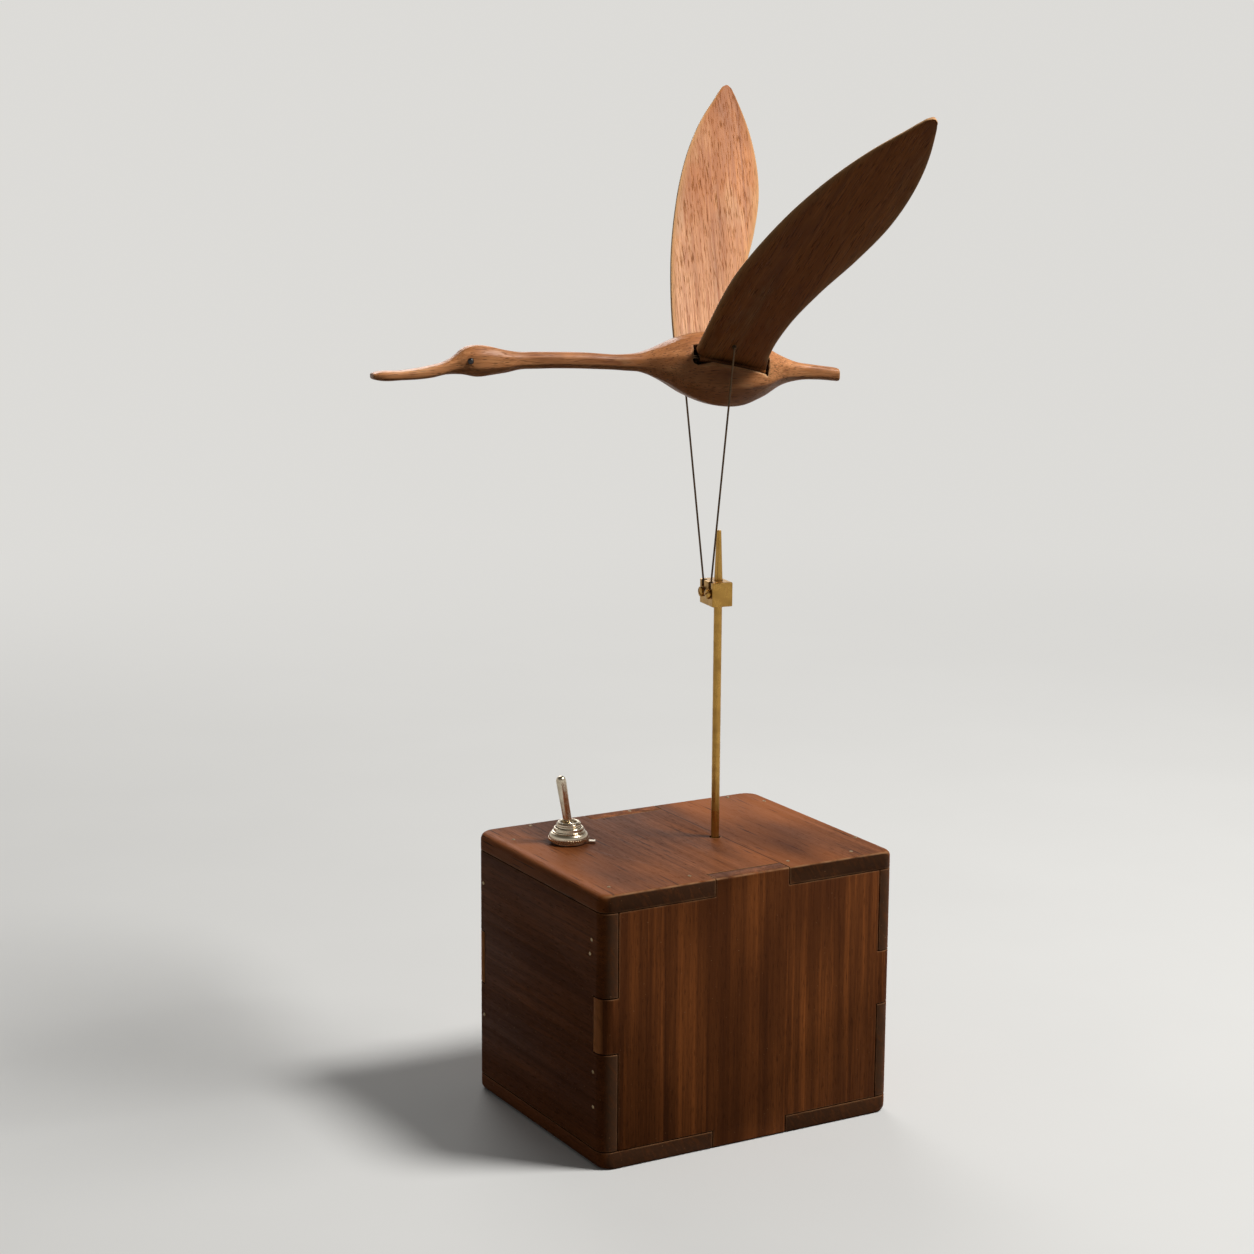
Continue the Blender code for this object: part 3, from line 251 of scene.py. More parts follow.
# Colours of the brads and the hidden drive
BRAD_BRASS, BRAD_TARNISH = (0.32, 0.23, 0.13), (0.12, 0.08, 0.03)
MOTOR_STEEL, MOTOR_TARNISH = (0.46, 0.46, 0.47), (0.22, 0.21, 0.20)
BLACK_PLASTIC = (0.015, 0.015, 0.016)
CELL_FILM = (0.10, 0.11, 0.13)


# ---------------------------------------------------------------- surfaces


def smooth_curve(known_at, known, at):
    """Cubic curve through the known points, with each slope taken from the points on either side."""
    slope = np.gradient(known, known_at)
    low = np.clip(np.searchsorted(known_at, at, side="right") - 1, 0, len(known_at) - 2)
    width = known_at[low + 1] - known_at[low]
    t = (at - known_at[low]) / width
    return ((2 * t**3 - 3 * t**2 + 1) * known[low] + (t**3 - 2 * t**2 + t) * width * slope[low]
            + (3 * t**2 - 2 * t**3) * known[low + 1] + (t**3 - t**2) * width * slope[low + 1])


def ease(value, low, high):
    """0 below low, 1 above high, and a smooth cubic step between."""
    t = np.clip((value - low) / (high - low), 0.0, 1.0)
    return t * t * (3 - 2 * t)


def superellipse(around, squareness):
    """Unit ring: cosine and sine of the angle, each to the power 2 over the squareness.

    Squareness may be a column with one value for each ring.
    """
    angle = np.linspace(0.0, 2 * np.pi, around, endpoint=False)
    power = 2.0 / np.asarray(squareness)
    wide = np.sign(np.cos(angle)) * np.abs(np.cos(angle)) ** power
    tall = np.sign(np.sin(angle)) * np.abs(np.sin(angle)) ** power
    return wide, tall


def eased_corners(profile, radius, steps):
    """The profile with each inner corner swapped for a quadratic curve that starts and ends radius from it."""
    points = np.asarray(profile, float)
    before = points[:-2] - points[1:-1]
    after = points[2:] - points[1:-1]
    reach = np.minimum(radius, 0.45 * np.minimum(np.linalg.norm(before, axis=1), np.linalg.norm(after, axis=1)))
    start = points[1:-1] + before * (reach / np.linalg.norm(before, axis=1))[:, None]
    end = points[1:-1] + after * (reach / np.linalg.norm(after, axis=1))[:, None]
    t = np.linspace(0.0, 1.0, steps)[None, :, None]
    curve = (1 - t) ** 2 * start[:, None] + 2 * t * (1 - t) * points[1:-1, None] + t**2 * end[:, None]
    return np.concatenate([points[:1], curve.reshape(-1, 2), points[-1:]])


def turned_grid(profile, around):
    """A lathe surface: each (radius, height) of the profile carried round Z, as rows of points."""
    angle = np.linspace(0.0, 2 * np.pi, around, endpoint=False)
    radius, height = np.asarray(profile, float).T
    return np.stack([radius[:, None] * np.cos(angle), radius[:, None] * np.sin(angle),
                     np.repeat(height[:, None], around, 1)], axis=-1)


def grid_faces(rows, around, offset):
    """Quads between rows of points that close round, numbered from offset."""
    index = np.arange(rows * around).reshape(rows, around) + offset
    after = np.roll(index, -1, axis=1)
    return np.stack([index[:-1], after[:-1], after[1:], index[1:]], axis=-1).reshape(-1, 4)


def placed(points, matrix):
    """The points turned and moved by a 4 by 4 matrix."""
    matrix = np.array(matrix)
    return points @ matrix[:3, :3].T + matrix[:3, 3]


def mesh_of(name, grid, *places, close_ends=True):
    """One mesh of a grid whose rows close round, set at each place, or left where it is if none is given.

    Rows that shrink to a point merge, and open ends are filled.
    """
    rows, around = grid.shape[:2]
    copies = [placed(grid, place) for place in places] or [grid]
    points = np.concatenate(copies).reshape(-1, 3)
    faces = np.concatenate([grid_faces(rows, around, number * rows * around) for number in range(len(copies))])
    mesh = bpy.data.meshes.new(name)
    mesh.from_pydata(points, [], faces)
    shape = bmesh.new()
    shape.from_mesh(mesh)
    bmesh.ops.remove_doubles(shape, verts=shape.verts, dist=1e-7)
    bmesh.ops.dissolve_degenerate(shape, edges=shape.edges, dist=1e-8)
    if close_ends:
        bmesh.ops.holes_fill(shape, edges=[edge for edge in shape.edges if edge.is_boundary])
    bmesh.ops.recalc_face_normals(shape, faces=shape.faces)
    shape.to_mesh(mesh)
    shape.free()
    return mesh


def piece(name, mesh, finish, body, replaces=(), sharp=40.0):
    """Puts a finished mesh in the scene as a piece that rides on a body and stands for CAD nodes."""
    mesh.shade_smooth()
    mesh.set_sharp_from_angle(angle=math.radians(sharp))
    mesh.materials.clear()
    mesh.materials.append(finish)
    obj = bpy.data.objects.new(name, mesh)
    bpy.context.scene.collection.objects.link(obj)
    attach(obj, body)
    if replaces:
        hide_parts(*replaces)


def cut_mesh(mesh, cutters, operation="DIFFERENCE"):
    """The mesh after each cutter in turn is taken from it, or cuts it down to what the two share.

    The helpers are removed again.
    """
    scene = bpy.context.scene.collection
    obj = bpy.data.objects.new(mesh.name, mesh)
    scene.objects.link(obj)
    helpers = [bpy.data.objects.new(f"cutter_{number}", cutter) for number, cutter in enumerate(cutters)]
    for helper in helpers:
        scene.objects.link(helper)
        step = obj.modifiers.new(helper.name, "BOOLEAN")
        step.object = helper
        step.operation = operation
        step.solver = "EXACT"
    graph = bpy.context.evaluated_depsgraph_get()
    result = bpy.data.meshes.new_from_object(obj.evaluated_get(graph))
    for helper in [obj, *helpers]:
        bpy.data.objects.remove(helper, do_unlink=True)
    return result


# ---------------------------------------------------------------- finishes


def opaque(colour):
    return (*colour, 1.0)


class Wiring:
    """Adds nodes to one tree. A socket's value is linked if it is another socket, and set if not."""

    def __init__(self, tree):
        self.tree = tree

    def node(self, kind, values=None, **settings):
        made = self.tree.nodes.new(f"ShaderNode{kind}")
        for name, value in settings.items():
            setattr(made, name, value)
        self.give(made.inputs, values or {})
        return made

    def put(self, socket, value):
        if isinstance(value, bpy.types.NodeSocket):
            self.tree.links.new(value, socket)
        else:
            socket.default_value = value

    def give(self, sockets, values):
        for name, value in values.items():
            self.put(sockets[name], value)

    def math(self, operation, *values):
        return self.node("Math", dict(enumerate(values)), operation=operation).outputs[0]

    def times(self, first, second):
        return self.math("MULTIPLY", first, second)

    def vector_math(self, operation, *vectors):
        return self.node("VectorMath", dict(enumerate(vectors)), operation=operation).outputs

    def axes(self, vector):
        return self.node("SeparateXYZ", {"Vector": vector}).outputs

    def spread(self, value, low, high, start=0.0, end=1.0, **settings):
        """The value's range from low to high made a range from start to end."""
        values = {"Value": value, "From Min": low, "From Max": high, "To Min": start, "To Max": end}
        return self.node("MapRange", values, **settings).outputs[0]

    def mix(self, factor, first, second):
        """A blend of two colours, each a socket or a plain colour."""
        made = self.node("Mix", {0: factor}, data_type="RGBA")
        for index, colour in ((6, first), (7, second)):
            self.put(made.inputs[index], colour if isinstance(colour, bpy.types.NodeSocket) else opaque(colour))
        return made.outputs[2]

    def layers(self, colour, *coats):
        """The colour under coats that are laid on in turn, each a mask and a colour."""
        for mask, coat in coats:
            colour = self.mix(mask, colour, coat)
        return colour

    def ramp(self, factor, dark, light, middle=None):
        """A blend from dark to light, past a middle colour where one is given."""
        made = self.node("ValToRGB", {"Fac": factor})
        stops = made.color_ramp.elements
        stops[0].color, stops[1].color = opaque(dark), opaque(light)
        if middle is not None:
            stops.new(MIDDLE_STOP).color = opaque(middle)
        return made.outputs[0]

    def stretched(self, vector, along):
        """The vector with its Z scaled, so that a pattern on it is drawn out along the grain."""
        return self.vector_math("MULTIPLY", vector, (1.0, 1.0, along))[0]

    def noise(self, vector, scale, detail, distortion=0.0):
        values = {"Vector": vector, "Scale": scale, "Detail": detail, "Distortion": distortion}
        return self.node("TexNoise", values).outputs["Fac"]

    def patches(self, vector, along, scale, detail, low, high, most=1.0, distortion=0.0):
        """Noise drawn out along the grain, made a mask: 0 where it is low, and the most where it is high."""
        noise = self.noise(self.stretched(vector, along), scale, detail, distortion)
        return self.spread(noise, low, high, 0.0, most)

    def group(self, build, **values):
        """Outputs of the shared group that a function builds, which is made once and then found by its name."""
        tree = bpy.data.node_groups.get(build.__name__) or build()
        made = self.node("Group", node_tree=tree)
        self.give(made.inputs, {name.replace("_", " ").title(): value for name, value in values.items()})
        return made.outputs

    def bump(self, height, strength, distance, **normal):
        values = {"Height": height, "Strength": strength, "Distance": distance, **normal}
        return self.node("Bump", values).outputs["Normal"]


def shader_group(name, inputs, *outputs):
    """An empty shader group, its wiring, and the sockets of its own input and output nodes."""
    tree = bpy.data.node_groups.new(name, "ShaderNodeTree")
    for socket, default in inputs.items():
        kind = "NodeSocketFloat" if isinstance(default, float) else "NodeSocketVector"
        tree.interface.new_socket(socket, in_out="INPUT", socket_type=kind).default_value = default
    for socket in outputs:
        tree.interface.new_socket(socket, in_out="OUTPUT", socket_type="NodeSocketFloat")
    ends = tree.nodes.new("NodeGroupInput").outputs, tree.nodes.new("NodeGroupOutput").inputs
    return (tree, Wiring(tree), *ends)


def wood_figure():
    """Figure of wood whose grain runs along Z of its vector.

    Tone is broad bands, Vein and Streak thin dark and light lines that run far, Fibre fine lines, Pore short
    open pores, and Height the surface that fibres and pores leave.
    """
    tree, w, given, out = shader_group(
        "wood_figure",
        {"Vector": ORIGIN, "Band Scale": 120.0, "Fibre Scale": 1700.0, "Pore Scale": 3000.0, "Waviness": 0.6},
        "Tone", "Vein", "Streak", "Fibre", "Pore", "Height")
    vector, bands, waves = given["Vector"], given["Band Scale"], given["Waviness"]
    slow = w.stretched(vector, 0.016)
    broad = w.noise(slow, bands, 2.0, waves)
    narrow = w.noise(slow, w.times(bands, 3.1), 2.0, waves)
    both = w.math("MULTIPLY_ADD", narrow, 0.36, w.times(broad, 0.64))
    line = w.noise(w.stretched(vector, 0.022), w.times(bands, 5.0), 2.0, waves)
    fibre = w.patches(vector, 0.03, given["Fibre Scale"], 2.0, 0.3, 0.7)
    pore = w.patches(vector, 0.075, given["Pore Scale"], 1.0, 0.57, 0.71)
    w.give(out, {"Tone": w.spread(both, 0.34, 0.66), "Vein": w.spread(line, 0.58, 0.72),
                 "Streak": w.spread(line, 0.42, 0.28), "Fibre": fibre, "Pore": pore,
                 "Height": w.math("MULTIPLY_ADD", fibre, 0.35, w.times(pore, -1.0))})
    return tree


def end_grain():
    """Mask of the faces that cut across the grain axis, and the slanted strokes of the yearly rings on them."""
    tree, w, given, out = shader_group(
        "end_grain", {"Vector": ORIGIN, "Grain Axis": (0.0, 1.0, 0.0), "Slant": 0.6, "Ring Scale": 520.0},
        "Mask", "Rings")
    vector, axis = given["Vector"], given["Grain Axis"]
    facing = w.vector_math("DOT_PRODUCT", w.node("TexCoord").outputs["Normal"], axis)["Value"]
    slanted = w.node("VectorRotate", {"Vector": vector, "Axis": axis, "Angle": given["Slant"]},
                     rotation_type="AXIS_ANGLE").outputs[0]
    rings = w.patches(slanted, 0.3, given["Ring Scale"], 3.0, 0.48, 0.78, distortion=1.2)
    speckle = w.spread(w.noise(vector, 3000.0, 3.0), 0.38, 0.66, 0.3, 1.0)
    w.give(out, {"Mask": w.spread(w.math("ABSOLUTE", facing), 0.72, 0.92), "Rings": w.times(rings, speckle)})
    return tree


def edge_wear():
    """Mask along edges and corners, found where a rounded normal leaves the real one, broken by noise."""
    tree, w, given, out = shader_group(
        "edge_wear", {"Vector": ORIGIN, "Radius": 0.0008, "Break Scale": 220.0}, "Mask")
    rounded = w.node("Bevel", {"Radius": given["Radius"]}, samples=6).outputs["Normal"]
    agree = w.vector_math("DOT_PRODUCT", rounded, w.node("NewGeometry").outputs["Normal"])["Value"]
    broken = w.spread(w.noise(given["Vector"], given["Break Scale"], 3.0), 0.30, 0.55)
    w.put(out["Mask"], w.times(w.spread(agree, 0.99, 0.86), broken))
    return tree


def painted_hollow_shade():
    """Mask of the places that near walls close in, such as slots and seams, where light is blocked: painted
    shade goes there.
    """
    tree, w, given, out = shader_group("painted_hollow_shade", {"Reach": 0.003, "Open": 0.8, "Closed": 0.35}, "Mask")
    open_share = w.node("AmbientOcclusion", {"Distance": given["Reach"]}, samples=6).outputs["AO"]
    w.put(out["Mask"], w.spread(open_share, given["Open"], given["Closed"]))
    return tree


def metal_marks():
    """Marks on worked metal: Lines drawn along Z of the vector, Tarnish in blotches, and Height of both."""
    tree, w, given, out = shader_group(
        "metal_marks", {"Vector": ORIGIN, "Line Scale": 3000.0, "Line Stretch": 0.02, "Tarnish Scale": 260.0},
        "Lines", "Tarnish", "Height")
    stretch = w.node("CombineXYZ", {"X": 1.0, "Y": 1.0, "Z": given["Line Stretch"]}).outputs[0]
    drawn = w.vector_math("MULTIPLY", given["Vector"], stretch)[0]
    lines = w.spread(w.noise(drawn, given["Line Scale"], 2.0), 0.3, 0.7)
    tarnish = w.spread(w.noise(given["Vector"], given["Tarnish Scale"], 4.0), 0.42, 0.68)
    w.give(out, {"Lines": lines, "Tarnish": tarnish, "Height": w.math("MULTIPLY_ADD", tarnish, 0.25, lines)})
    return tree


def new_finish(name):
    """A material with its wiring, its shader and its Object coordinates."""
    made = bpy.data.materials.new(name)
    made.use_nodes = True
    wiring = Wiring(made.node_tree)
    shader = made.node_tree.nodes["Principled BSDF"].inputs
    return made, wiring, shader, wiring.node("TexCoord").outputs["Object"]


def walnut_finish(name, look, grain_turn, cut_axis, cut_wood, shift, contrast, cracks, seam):
    """Oiled walnut: banded figure, veins, fibres and pores, cut ends with slanted strokes, and pale worn edges,
    with a painted highlight along the top front and back edges and painted shade in the seams.

    Faces along cut_axis take the cut_wood colour. Contrast is how far the bands leave the middle colour, and
    cracks how strong the short checks are, and with them the fibres, the pores and the lighter patches of
    painted sheen. Seam is the X of a thin dark line that runs the full depth.
    """
    made, w, shader, place = new_finish(name)
    local = w.node("Mapping", {"Vector": place, "Rotation": grain_turn, "Location": shift}).outputs[0]
    figure = w.group(wood_figure, vector=local, band_scale=1.0 / look.band_width, fibre_scale=1700.0,
                     pore_scale=3000.0, waviness=0.9)
    tone = w.spread(figure["Tone"], 0.0, 1.0, 0.5 - contrast / 2, 0.5 + contrast / 2)
    colour = w.layers(
        w.ramp(tone, look.dark_wood, look.light_wood, look.middle_wood),
        (w.times(figure["Streak"], 0.55 * contrast), look.light_wood),
        (w.times(figure["Vein"], 0.6 * contrast), look.dark_wood),
        (w.spread(figure["Fibre"], 0.3, 1.0, 0.0, 0.32 + 0.35 * cracks), look.dark_wood),
        (w.times(figure["Pore"], 0.5 + 0.3 * cracks), look.pore),
        (w.patches(local, 0.3, 28.0, 3.0, 0.42, 0.62, 0.66), look.dark_wood),
        # Lighter patches of painted sheen, on the lid and the base only
        (w.patches(local, 0.35, 24.0, 2.0, 0.42, 0.64, 0.8 * cracks), look.light_wood),
        (w.patches(local, 0.04, 900.0, 2.0, 0.63, 0.69, cracks), look.pore))
    if seam is not None:
        off = w.math("ABSOLUTE", w.math("SUBTRACT", w.axes(place)["X"], seam))
        colour = w.mix(w.spread(off, *SEAM_LINE, 0.85, 0.0), colour, look.pore)
    ends = w.group(end_grain, vector=place, grain_axis=cut_axis, slant=0.6, ring_scale=480.0)
    end_colour = w.mix(w.times(ends["Rings"], 0.7), cut_wood, look.middle_wood)
    worn = w.group(edge_wear, vector=place, radius=0.0011, break_scale=140.0)
    facing = w.axes(w.node("NewGeometry").outputs["Normal"])
    # Painted highlight along the top front and back edges, where the light falls, broken by noise
    top_edge_highlight = w.spread(w.times(facing["Z"], w.math("ABSOLUTE", facing["Y"])), 0.2, 0.42)
    rubbed = w.spread(w.noise(place, 170.0, 3.0), 0.34, 0.6, 0.0, 0.7)
    specks = w.spread(w.noise(place, 1500.0, 0.0), 0.80, 0.86, 0.0, 0.5)
    # Painted shade in seams and slots, found by how closely nearby surfaces close in
    grime = w.group(painted_hollow_shade, reach=0.0012, open=0.8, closed=0.35)
    colour = w.layers(
        colour,
        (w.times(ends["Mask"], 0.9), end_colour),
        (w.times(worn["Mask"], 0.6), look.worn_edge),
        (w.times(top_edge_highlight, rubbed), look.worn_edge),
        (specks, look.worn_edge),
        # Painted shade in the seams, in the pores' colour
        (w.times(grime["Mask"], 0.8), look.pore))
    rough = w.math("MULTIPLY_ADD", figure["Pore"], 0.2, w.spread(figure["Tone"], 0.0, 1.0, 0.64, 0.5))
    w.give(shader, {"Base Color": colour, "Roughness": rough, "Specular IOR Level": WALNUT_GLOSS,
                    "Normal": w.bump(figure["Height"], 0.3, 0.0001)})
    return made


def carved_finish(name, look, woods, matrix, edge_radius, grime, gloss, rim=None):
    """Carved, oiled wood: soft bands along the piece, dark grain and patches, pale patches painted in as
    highlights, pale edges that are worn and on the wings also painted as a highlight, and knife marks.

    Woods are the light, dark and patch colours. Painted shade darkens the hollows: its argument gives the reach
    of the hollows and the open shares at which that shade starts and is full, and gloss how much the wood
    mirrors.
    Rim is a plate's half thickness at its root and tip, its length, and how strong the painted highlight on its
    root is. Where the surface comes nearer to the middle of the plate than that, it is at the plate's edge,
    which is painted pale, as wear and as a painted highlight.
    """
    light_wood, dark_wood, patch_wood = woods
    made, w, shader, place = new_finish(name)
    turned_back = matrix.inverted()
    local = w.node("Mapping", {"Vector": place, "Location": turned_back.to_translation(),
                               "Rotation": turned_back.to_euler("XYZ")}).outputs[0]
    figure = w.group(wood_figure, vector=local, band_scale=1.0 / look.band_width, fibre_scale=1900.0,
                     pore_scale=2700.0, waviness=0.5)
    colour = w.layers(
        w.ramp(figure["Tone"], dark_wood, light_wood),
        (w.patches(local, 0.35, 62.0, 3.0, 0.48, 0.68, 0.8, 0.6), patch_wood),
        # Pale patches painted in as highlights
        (w.patches(local, 0.4, 95.0, 2.0, 0.54, 0.74, 0.45, 0.8), look.worn_edge))
    worn = w.group(edge_wear, vector=place, radius=edge_radius, break_scale=120.0)["Mask"]
    if rim:
        root, tip, span, pale = rim
        axes = w.axes(local)
        out = w.math("ABSOLUTE", axes["Z"])
        # Painted highlight on the wing's root, fading out along the span
        colour = w.mix(w.spread(out, 0.0, 0.6 * span, pale, 0.0), colour, look.pale_root)
        # The plate's edges are painted pale, as wear and as a painted highlight
        depth = w.math("DIVIDE", w.math("ABSOLUTE", axes["Y"]), w.spread(out, 0.0, span, root, tip))
        worn = w.math("MAXIMUM", worn, w.spread(depth, 0.9, 0.45))
    # Painted shade in the slots and hollows, found by how closely nearby surfaces close in
    shading = w.group(painted_hollow_shade, reach=grime[0], open=grime[1], closed=grime[2])
    colour = w.layers(
        colour,
        (w.times(figure["Vein"], 0.6), patch_wood),
        (w.spread(figure["Fibre"], 0.25, 0.95, 0.0, 0.85), dark_wood),
        (w.times(figure["Pore"], 0.65), look.pore),
        # Painted shade in the hollows
        (w.times(shading["Mask"], 0.94), look.grime),
        (w.times(worn, 0.85), look.worn_edge))
    rough = w.math("MULTIPLY_ADD", figure["Pore"], 0.25, w.spread(figure["Tone"], 0.0, 1.0, 0.46, 0.34))
    knife = w.noise(w.stretched(local, 0.35), 170.0, 1.0)
    relief = w.math("MULTIPLY_ADD", knife, 2.2, figure["Height"])
    rounded = w.node("Bevel", {"Radius": edge_radius}, samples=4).outputs["Normal"]
    w.give(shader, {"Base Color": colour, "Roughness": rough, "Specular IOR Level": gloss,
                    "Normal": w.bump(relief, 0.4, 0.00012, Normal=rounded)})
    return made


def metal_finish(name, colour, dark, roughness, lines=ORIGIN, stretch=0.02, wear=0.35, relief=0.12):
    """Worked metal: drawn lines, blotches of tarnish that are darker and duller, and bright worn edges."""
    made, w, shader, place = new_finish(name)
    local = w.node("Mapping", {"Vector": place, "Rotation": lines}).outputs[0]
    marks = w.group(metal_marks, vector=local, line_scale=3000.0, line_stretch=stretch, tarnish_scale=240.0)
    worn = w.group(edge_wear, vector=place, radius=0.00035, break_scale=600.0)
    bright = tuple(min(1.0, 1.25 * value) for value in colour)
    shade = w.layers(colour, (w.times(marks["Tarnish"], 0.55), dark), (w.times(worn["Mask"], wear), bright))
    rough = w.spread(marks["Lines"], 0.0, 1.0, roughness * 0.8, roughness * 1.2)
    w.give(shader, {"Base Color": shade, "Metallic": 1.0, "Normal": w.bump(marks["Height"], relief, 0.00004),
                    "Roughness": w.math("MULTIPLY_ADD", marks["Tarnish"], 0.16, rough)})
    return made


def moulded_finish(name, colour, roughness, speck=0.5):
    """Moulded plastic or lacquer: a fine grain in the surface, and slow changes of shade and gloss."""
    made, w, shader, place = new_finish(name)
    slow = w.spread(w.noise(place, 120.0, 3.0), 0.3, 0.7)
    paler = tuple(min(1.0, value * 1.6 + 0.004) for value in colour)
    w.give(shader, {"Base Color": w.mix(w.times(slow, speck), colour, paler),
                    "Roughness": w.spread(slow, 0.0, 1.0, roughness * 0.85, roughness * 1.15),
                    "Normal": w.bump(w.noise(place, 4200.0, 2.0), 0.1, 0.00005)})
    return made


def seen_rays(wiring):
    """1 for the rays that see the backdrop: from the camera, off metal and through glass."""
    path = wiring.node("LightPath").outputs
    seen = wiring.math("MAXIMUM", path["Is Camera Ray"], path["Is Glossy Ray"])
    return wiring.math("MAXIMUM", seen, path["Is Transmission Ray"])


def dress(finish, *nodes):
    """Gives CAD nodes their finish. The nodes' meshes stay as they are."""
    for node in nodes:
        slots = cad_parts[node].data.materials
        slots.clear()
        slots.append(finish)


# ---------------------------------------------------------------- frames of the moving bodies


def turn(angle, axis):
    return Matrix.Rotation(angle, 4, axis)


def lift_frame():
    """The rod's foot on the floor, turned to the bird's heading."""
    return Matrix.Translation((ROD_X, ROD_Y, 0.0)) @ turn(HEADING, "Z")


def bird_frame():
    return lift_frame() @ Matrix.Translation((0.0, 0.0, HINGE_Z))


def hinge_frame(side):
    """X along a wing's hinge pin."""
    return bird_frame() @ Matrix.Translation((0.0, side * HINGE_OUT, 0.0)) @ turn(HINGE_PITCH, "Y")


def wing_frame(side):
    """X along the chord, Y along the span and Z through the wing's thickness."""
    return hinge_frame(side) @ turn(side * WING_RISE[side], "X")


def aimed(place, direction):
    """A frame at place whose Z points along direction."""
    return Matrix.Translation(place) @ Vector(direction).to_track_quat("Z", "Y").to_matrix().to_4x4()


def box_corners():
    """Lowest and highest corner of the whole box."""
    return np.array(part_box("base_panel")[0]), np.array(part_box("lid")[1])


# ---------------------------------------------------------------- pieces


def block_grid(low, high):
    """A box as rounded rectangles stacked along Z. Near the bottom and the top they draw in on quarter circles,
    wide ones at the box's left and right ends and tight ones at its front and back.
    """
    t = np.linspace(0.0, np.pi / 2, 9)
    height = np.unique(np.concatenate([END_ROUND * (1 - np.cos(t)), EDGE_ROUND * (1 - np.cos(t))]))
    inset = [radius - np.sqrt(radius**2 - np.clip(radius - height, 0.0, None) ** 2)
             for radius in (END_ROUND, EDGE_ROUND)]
    inset_x, inset_y = (np.concatenate([rise, rise[::-1]])[:, None] for rise in inset)
    level = np.concatenate([low[2] + height, high[2] - height[::-1]])
    angle = (np.linspace(0.0, np.pi / 2, 10) + np.arange(4)[:, None] * np.pi / 2).ravel()
    side_x, side_y = np.repeat([1, -1, -1, 1], 10), np.repeat([1, 1, -1, -1], 10)
    half_x, half_y = ((high[i] - low[i]) / 2 - CORNER_ROUND for i in (0, 1))
    x = (low[0] + high[0]) / 2 + side_x * (half_x - inset_x) + CORNER_ROUND * np.cos(angle)
    y = (low[1] + high[1]) / 2 + side_y * (half_y - inset_y) + CORNER_ROUND * np.sin(angle)
    return np.stack([x, y, np.repeat(level[:, None], len(angle), 1)], axis=-1)


def board_mesh(node, block, soften):
    """A merged copy of the node's board, trimmed by the finely rounded block, with every sharp edge eased."""
    shape = bmesh.new()
    shape.from_mesh(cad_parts[node].data)
    bmesh.ops.remove_doubles(shape, verts=shape.verts, dist=2e-6)
    own = bpy.data.meshes.new(f"{node}_copy")
    shape.to_mesh(own)
    shape.clear()
    shape.from_mesh(cut_mesh(own, [block], "INTERSECT"))
    bmesh.ops.dissolve_limit(shape, angle_limit=math.radians(1.0), verts=shape.verts, edges=shape.edges)
    sharp = [edge for edge in shape.edges if edge.is_manifold and edge.calc_face_angle() > math.radians(40.0)]
    bmesh.ops.bevel(shape, geom=sharp, offset=soften, offset_type="OFFSET", segments=2, profile=0.5,
                    affect="EDGES", clamp_overlap=True)
    made = bpy.data.meshes.new(f"{node}_board")
    shape.to_mesh(made)
    shape.free()
    return made


def dome_grid(radius, height, sunk, rings, around):
    """A low dome: a quarter ellipse spun about Z, on a short wall that is sunk in the surface below."""
    t = np.linspace(0.0, np.pi / 2, rings)
    dome = np.column_stack([radius * np.sin(t), height * np.cos(t)])
    return turned_grid(np.vstack([dome, (radius, -sunk)]), around)


def brad_frames():
    """Where the brads sit: on the lid, on both side faces and on the back."""
    low, high = box_corners()
    top = [aimed((x * MM, y * MM, high[2]), (0, 0, 1)) for x, y in LID_BRADS]
    left = [aimed((low[0], y * MM, z * MM), (-1, 0, 0)) for y, z in SIDE_BRADS]
    right = [aimed((high[0], -y * MM, z * MM), (1, 0, 0)) for y, z in SIDE_BRADS]
    back = [aimed((x * MM, high[1], z * MM), (0, 1, 0)) for x, z in BACK_BRADS]
    return top + left + right + back


def body_grid(knife_depth):
    """Bill to tail as superellipse rings along the bird, flattened to eight knife facets, with low ripples.

    A facet draws the ring in by a share of the way to a regular octagon. The bill and the tail are squarer, and
    at both ends the rings draw in on a quarter circle, so that the edges are softened.
    """
    rows = np.array(BODY_SECTIONS) * MM
    share = np.linspace(0.0, 1.0, BODY_STEPS, endpoint=False)
    along = (rows[:-1, :1] + (rows[1:, :1] - rows[:-1, :1]) * share).ravel()
    edge = BODY_END_EDGE
    fine = edge * (1 - np.cos(np.linspace(0.0, np.pi / 2, 7)))
    along = np.unique(np.concatenate([along, rows[0, 0] + fine, rows[-1, 0] - fine]))
    middle, tall, wide = (smooth_curve(rows[:, 0], rows[:, i], along) for i in (1, 2, 3))
    from_end = np.minimum(along - rows[0, 0], rows[-1, 0] - along)
    inset = edge * (1 - np.sqrt(1 - np.clip(1 - from_end / edge, 0.0, 1.0) ** 2))
    flat_ends = np.maximum(ease(-along, *BILL_FLATS), ease(along, *TAIL_FLATS))
    across, up = superellipse(BODY_AROUND, (BODY_SQUARENESS + END_SQUARENESS * flat_ends)[:, None])
    angle = np.linspace(0.0, 2 * np.pi, BODY_AROUND, endpoint=False)
    eighth = np.pi / 8
    octagon = np.cos(eighth) / np.cos(np.mod(angle + eighth, 2 * eighth) - eighth)
    facet = 1 + FACET_SHARE * (octagon - FACET_MEAN) * (1 - flat_ends[:, None])
    distance = along[:, None] / MM
    ripple = (np.sin(5 * angle + 0.21 * distance) * np.sin(0.37 * distance + 2 * angle)
              + 0.6 * np.sin(3 * angle - 0.13 * distance + 1.0) * np.sin(0.23 * distance))
    ripple = knife_depth * ripple * ease(tall[:, None], 1.5 * MM, 5.0 * MM)
    return np.stack([np.repeat(along[:, None], BODY_AROUND, 1),
                     ((wide - inset)[:, None] * facet + ripple) * across,
                     middle[:, None] + ((tall - inset)[:, None] * facet + ripple) * up], axis=-1)


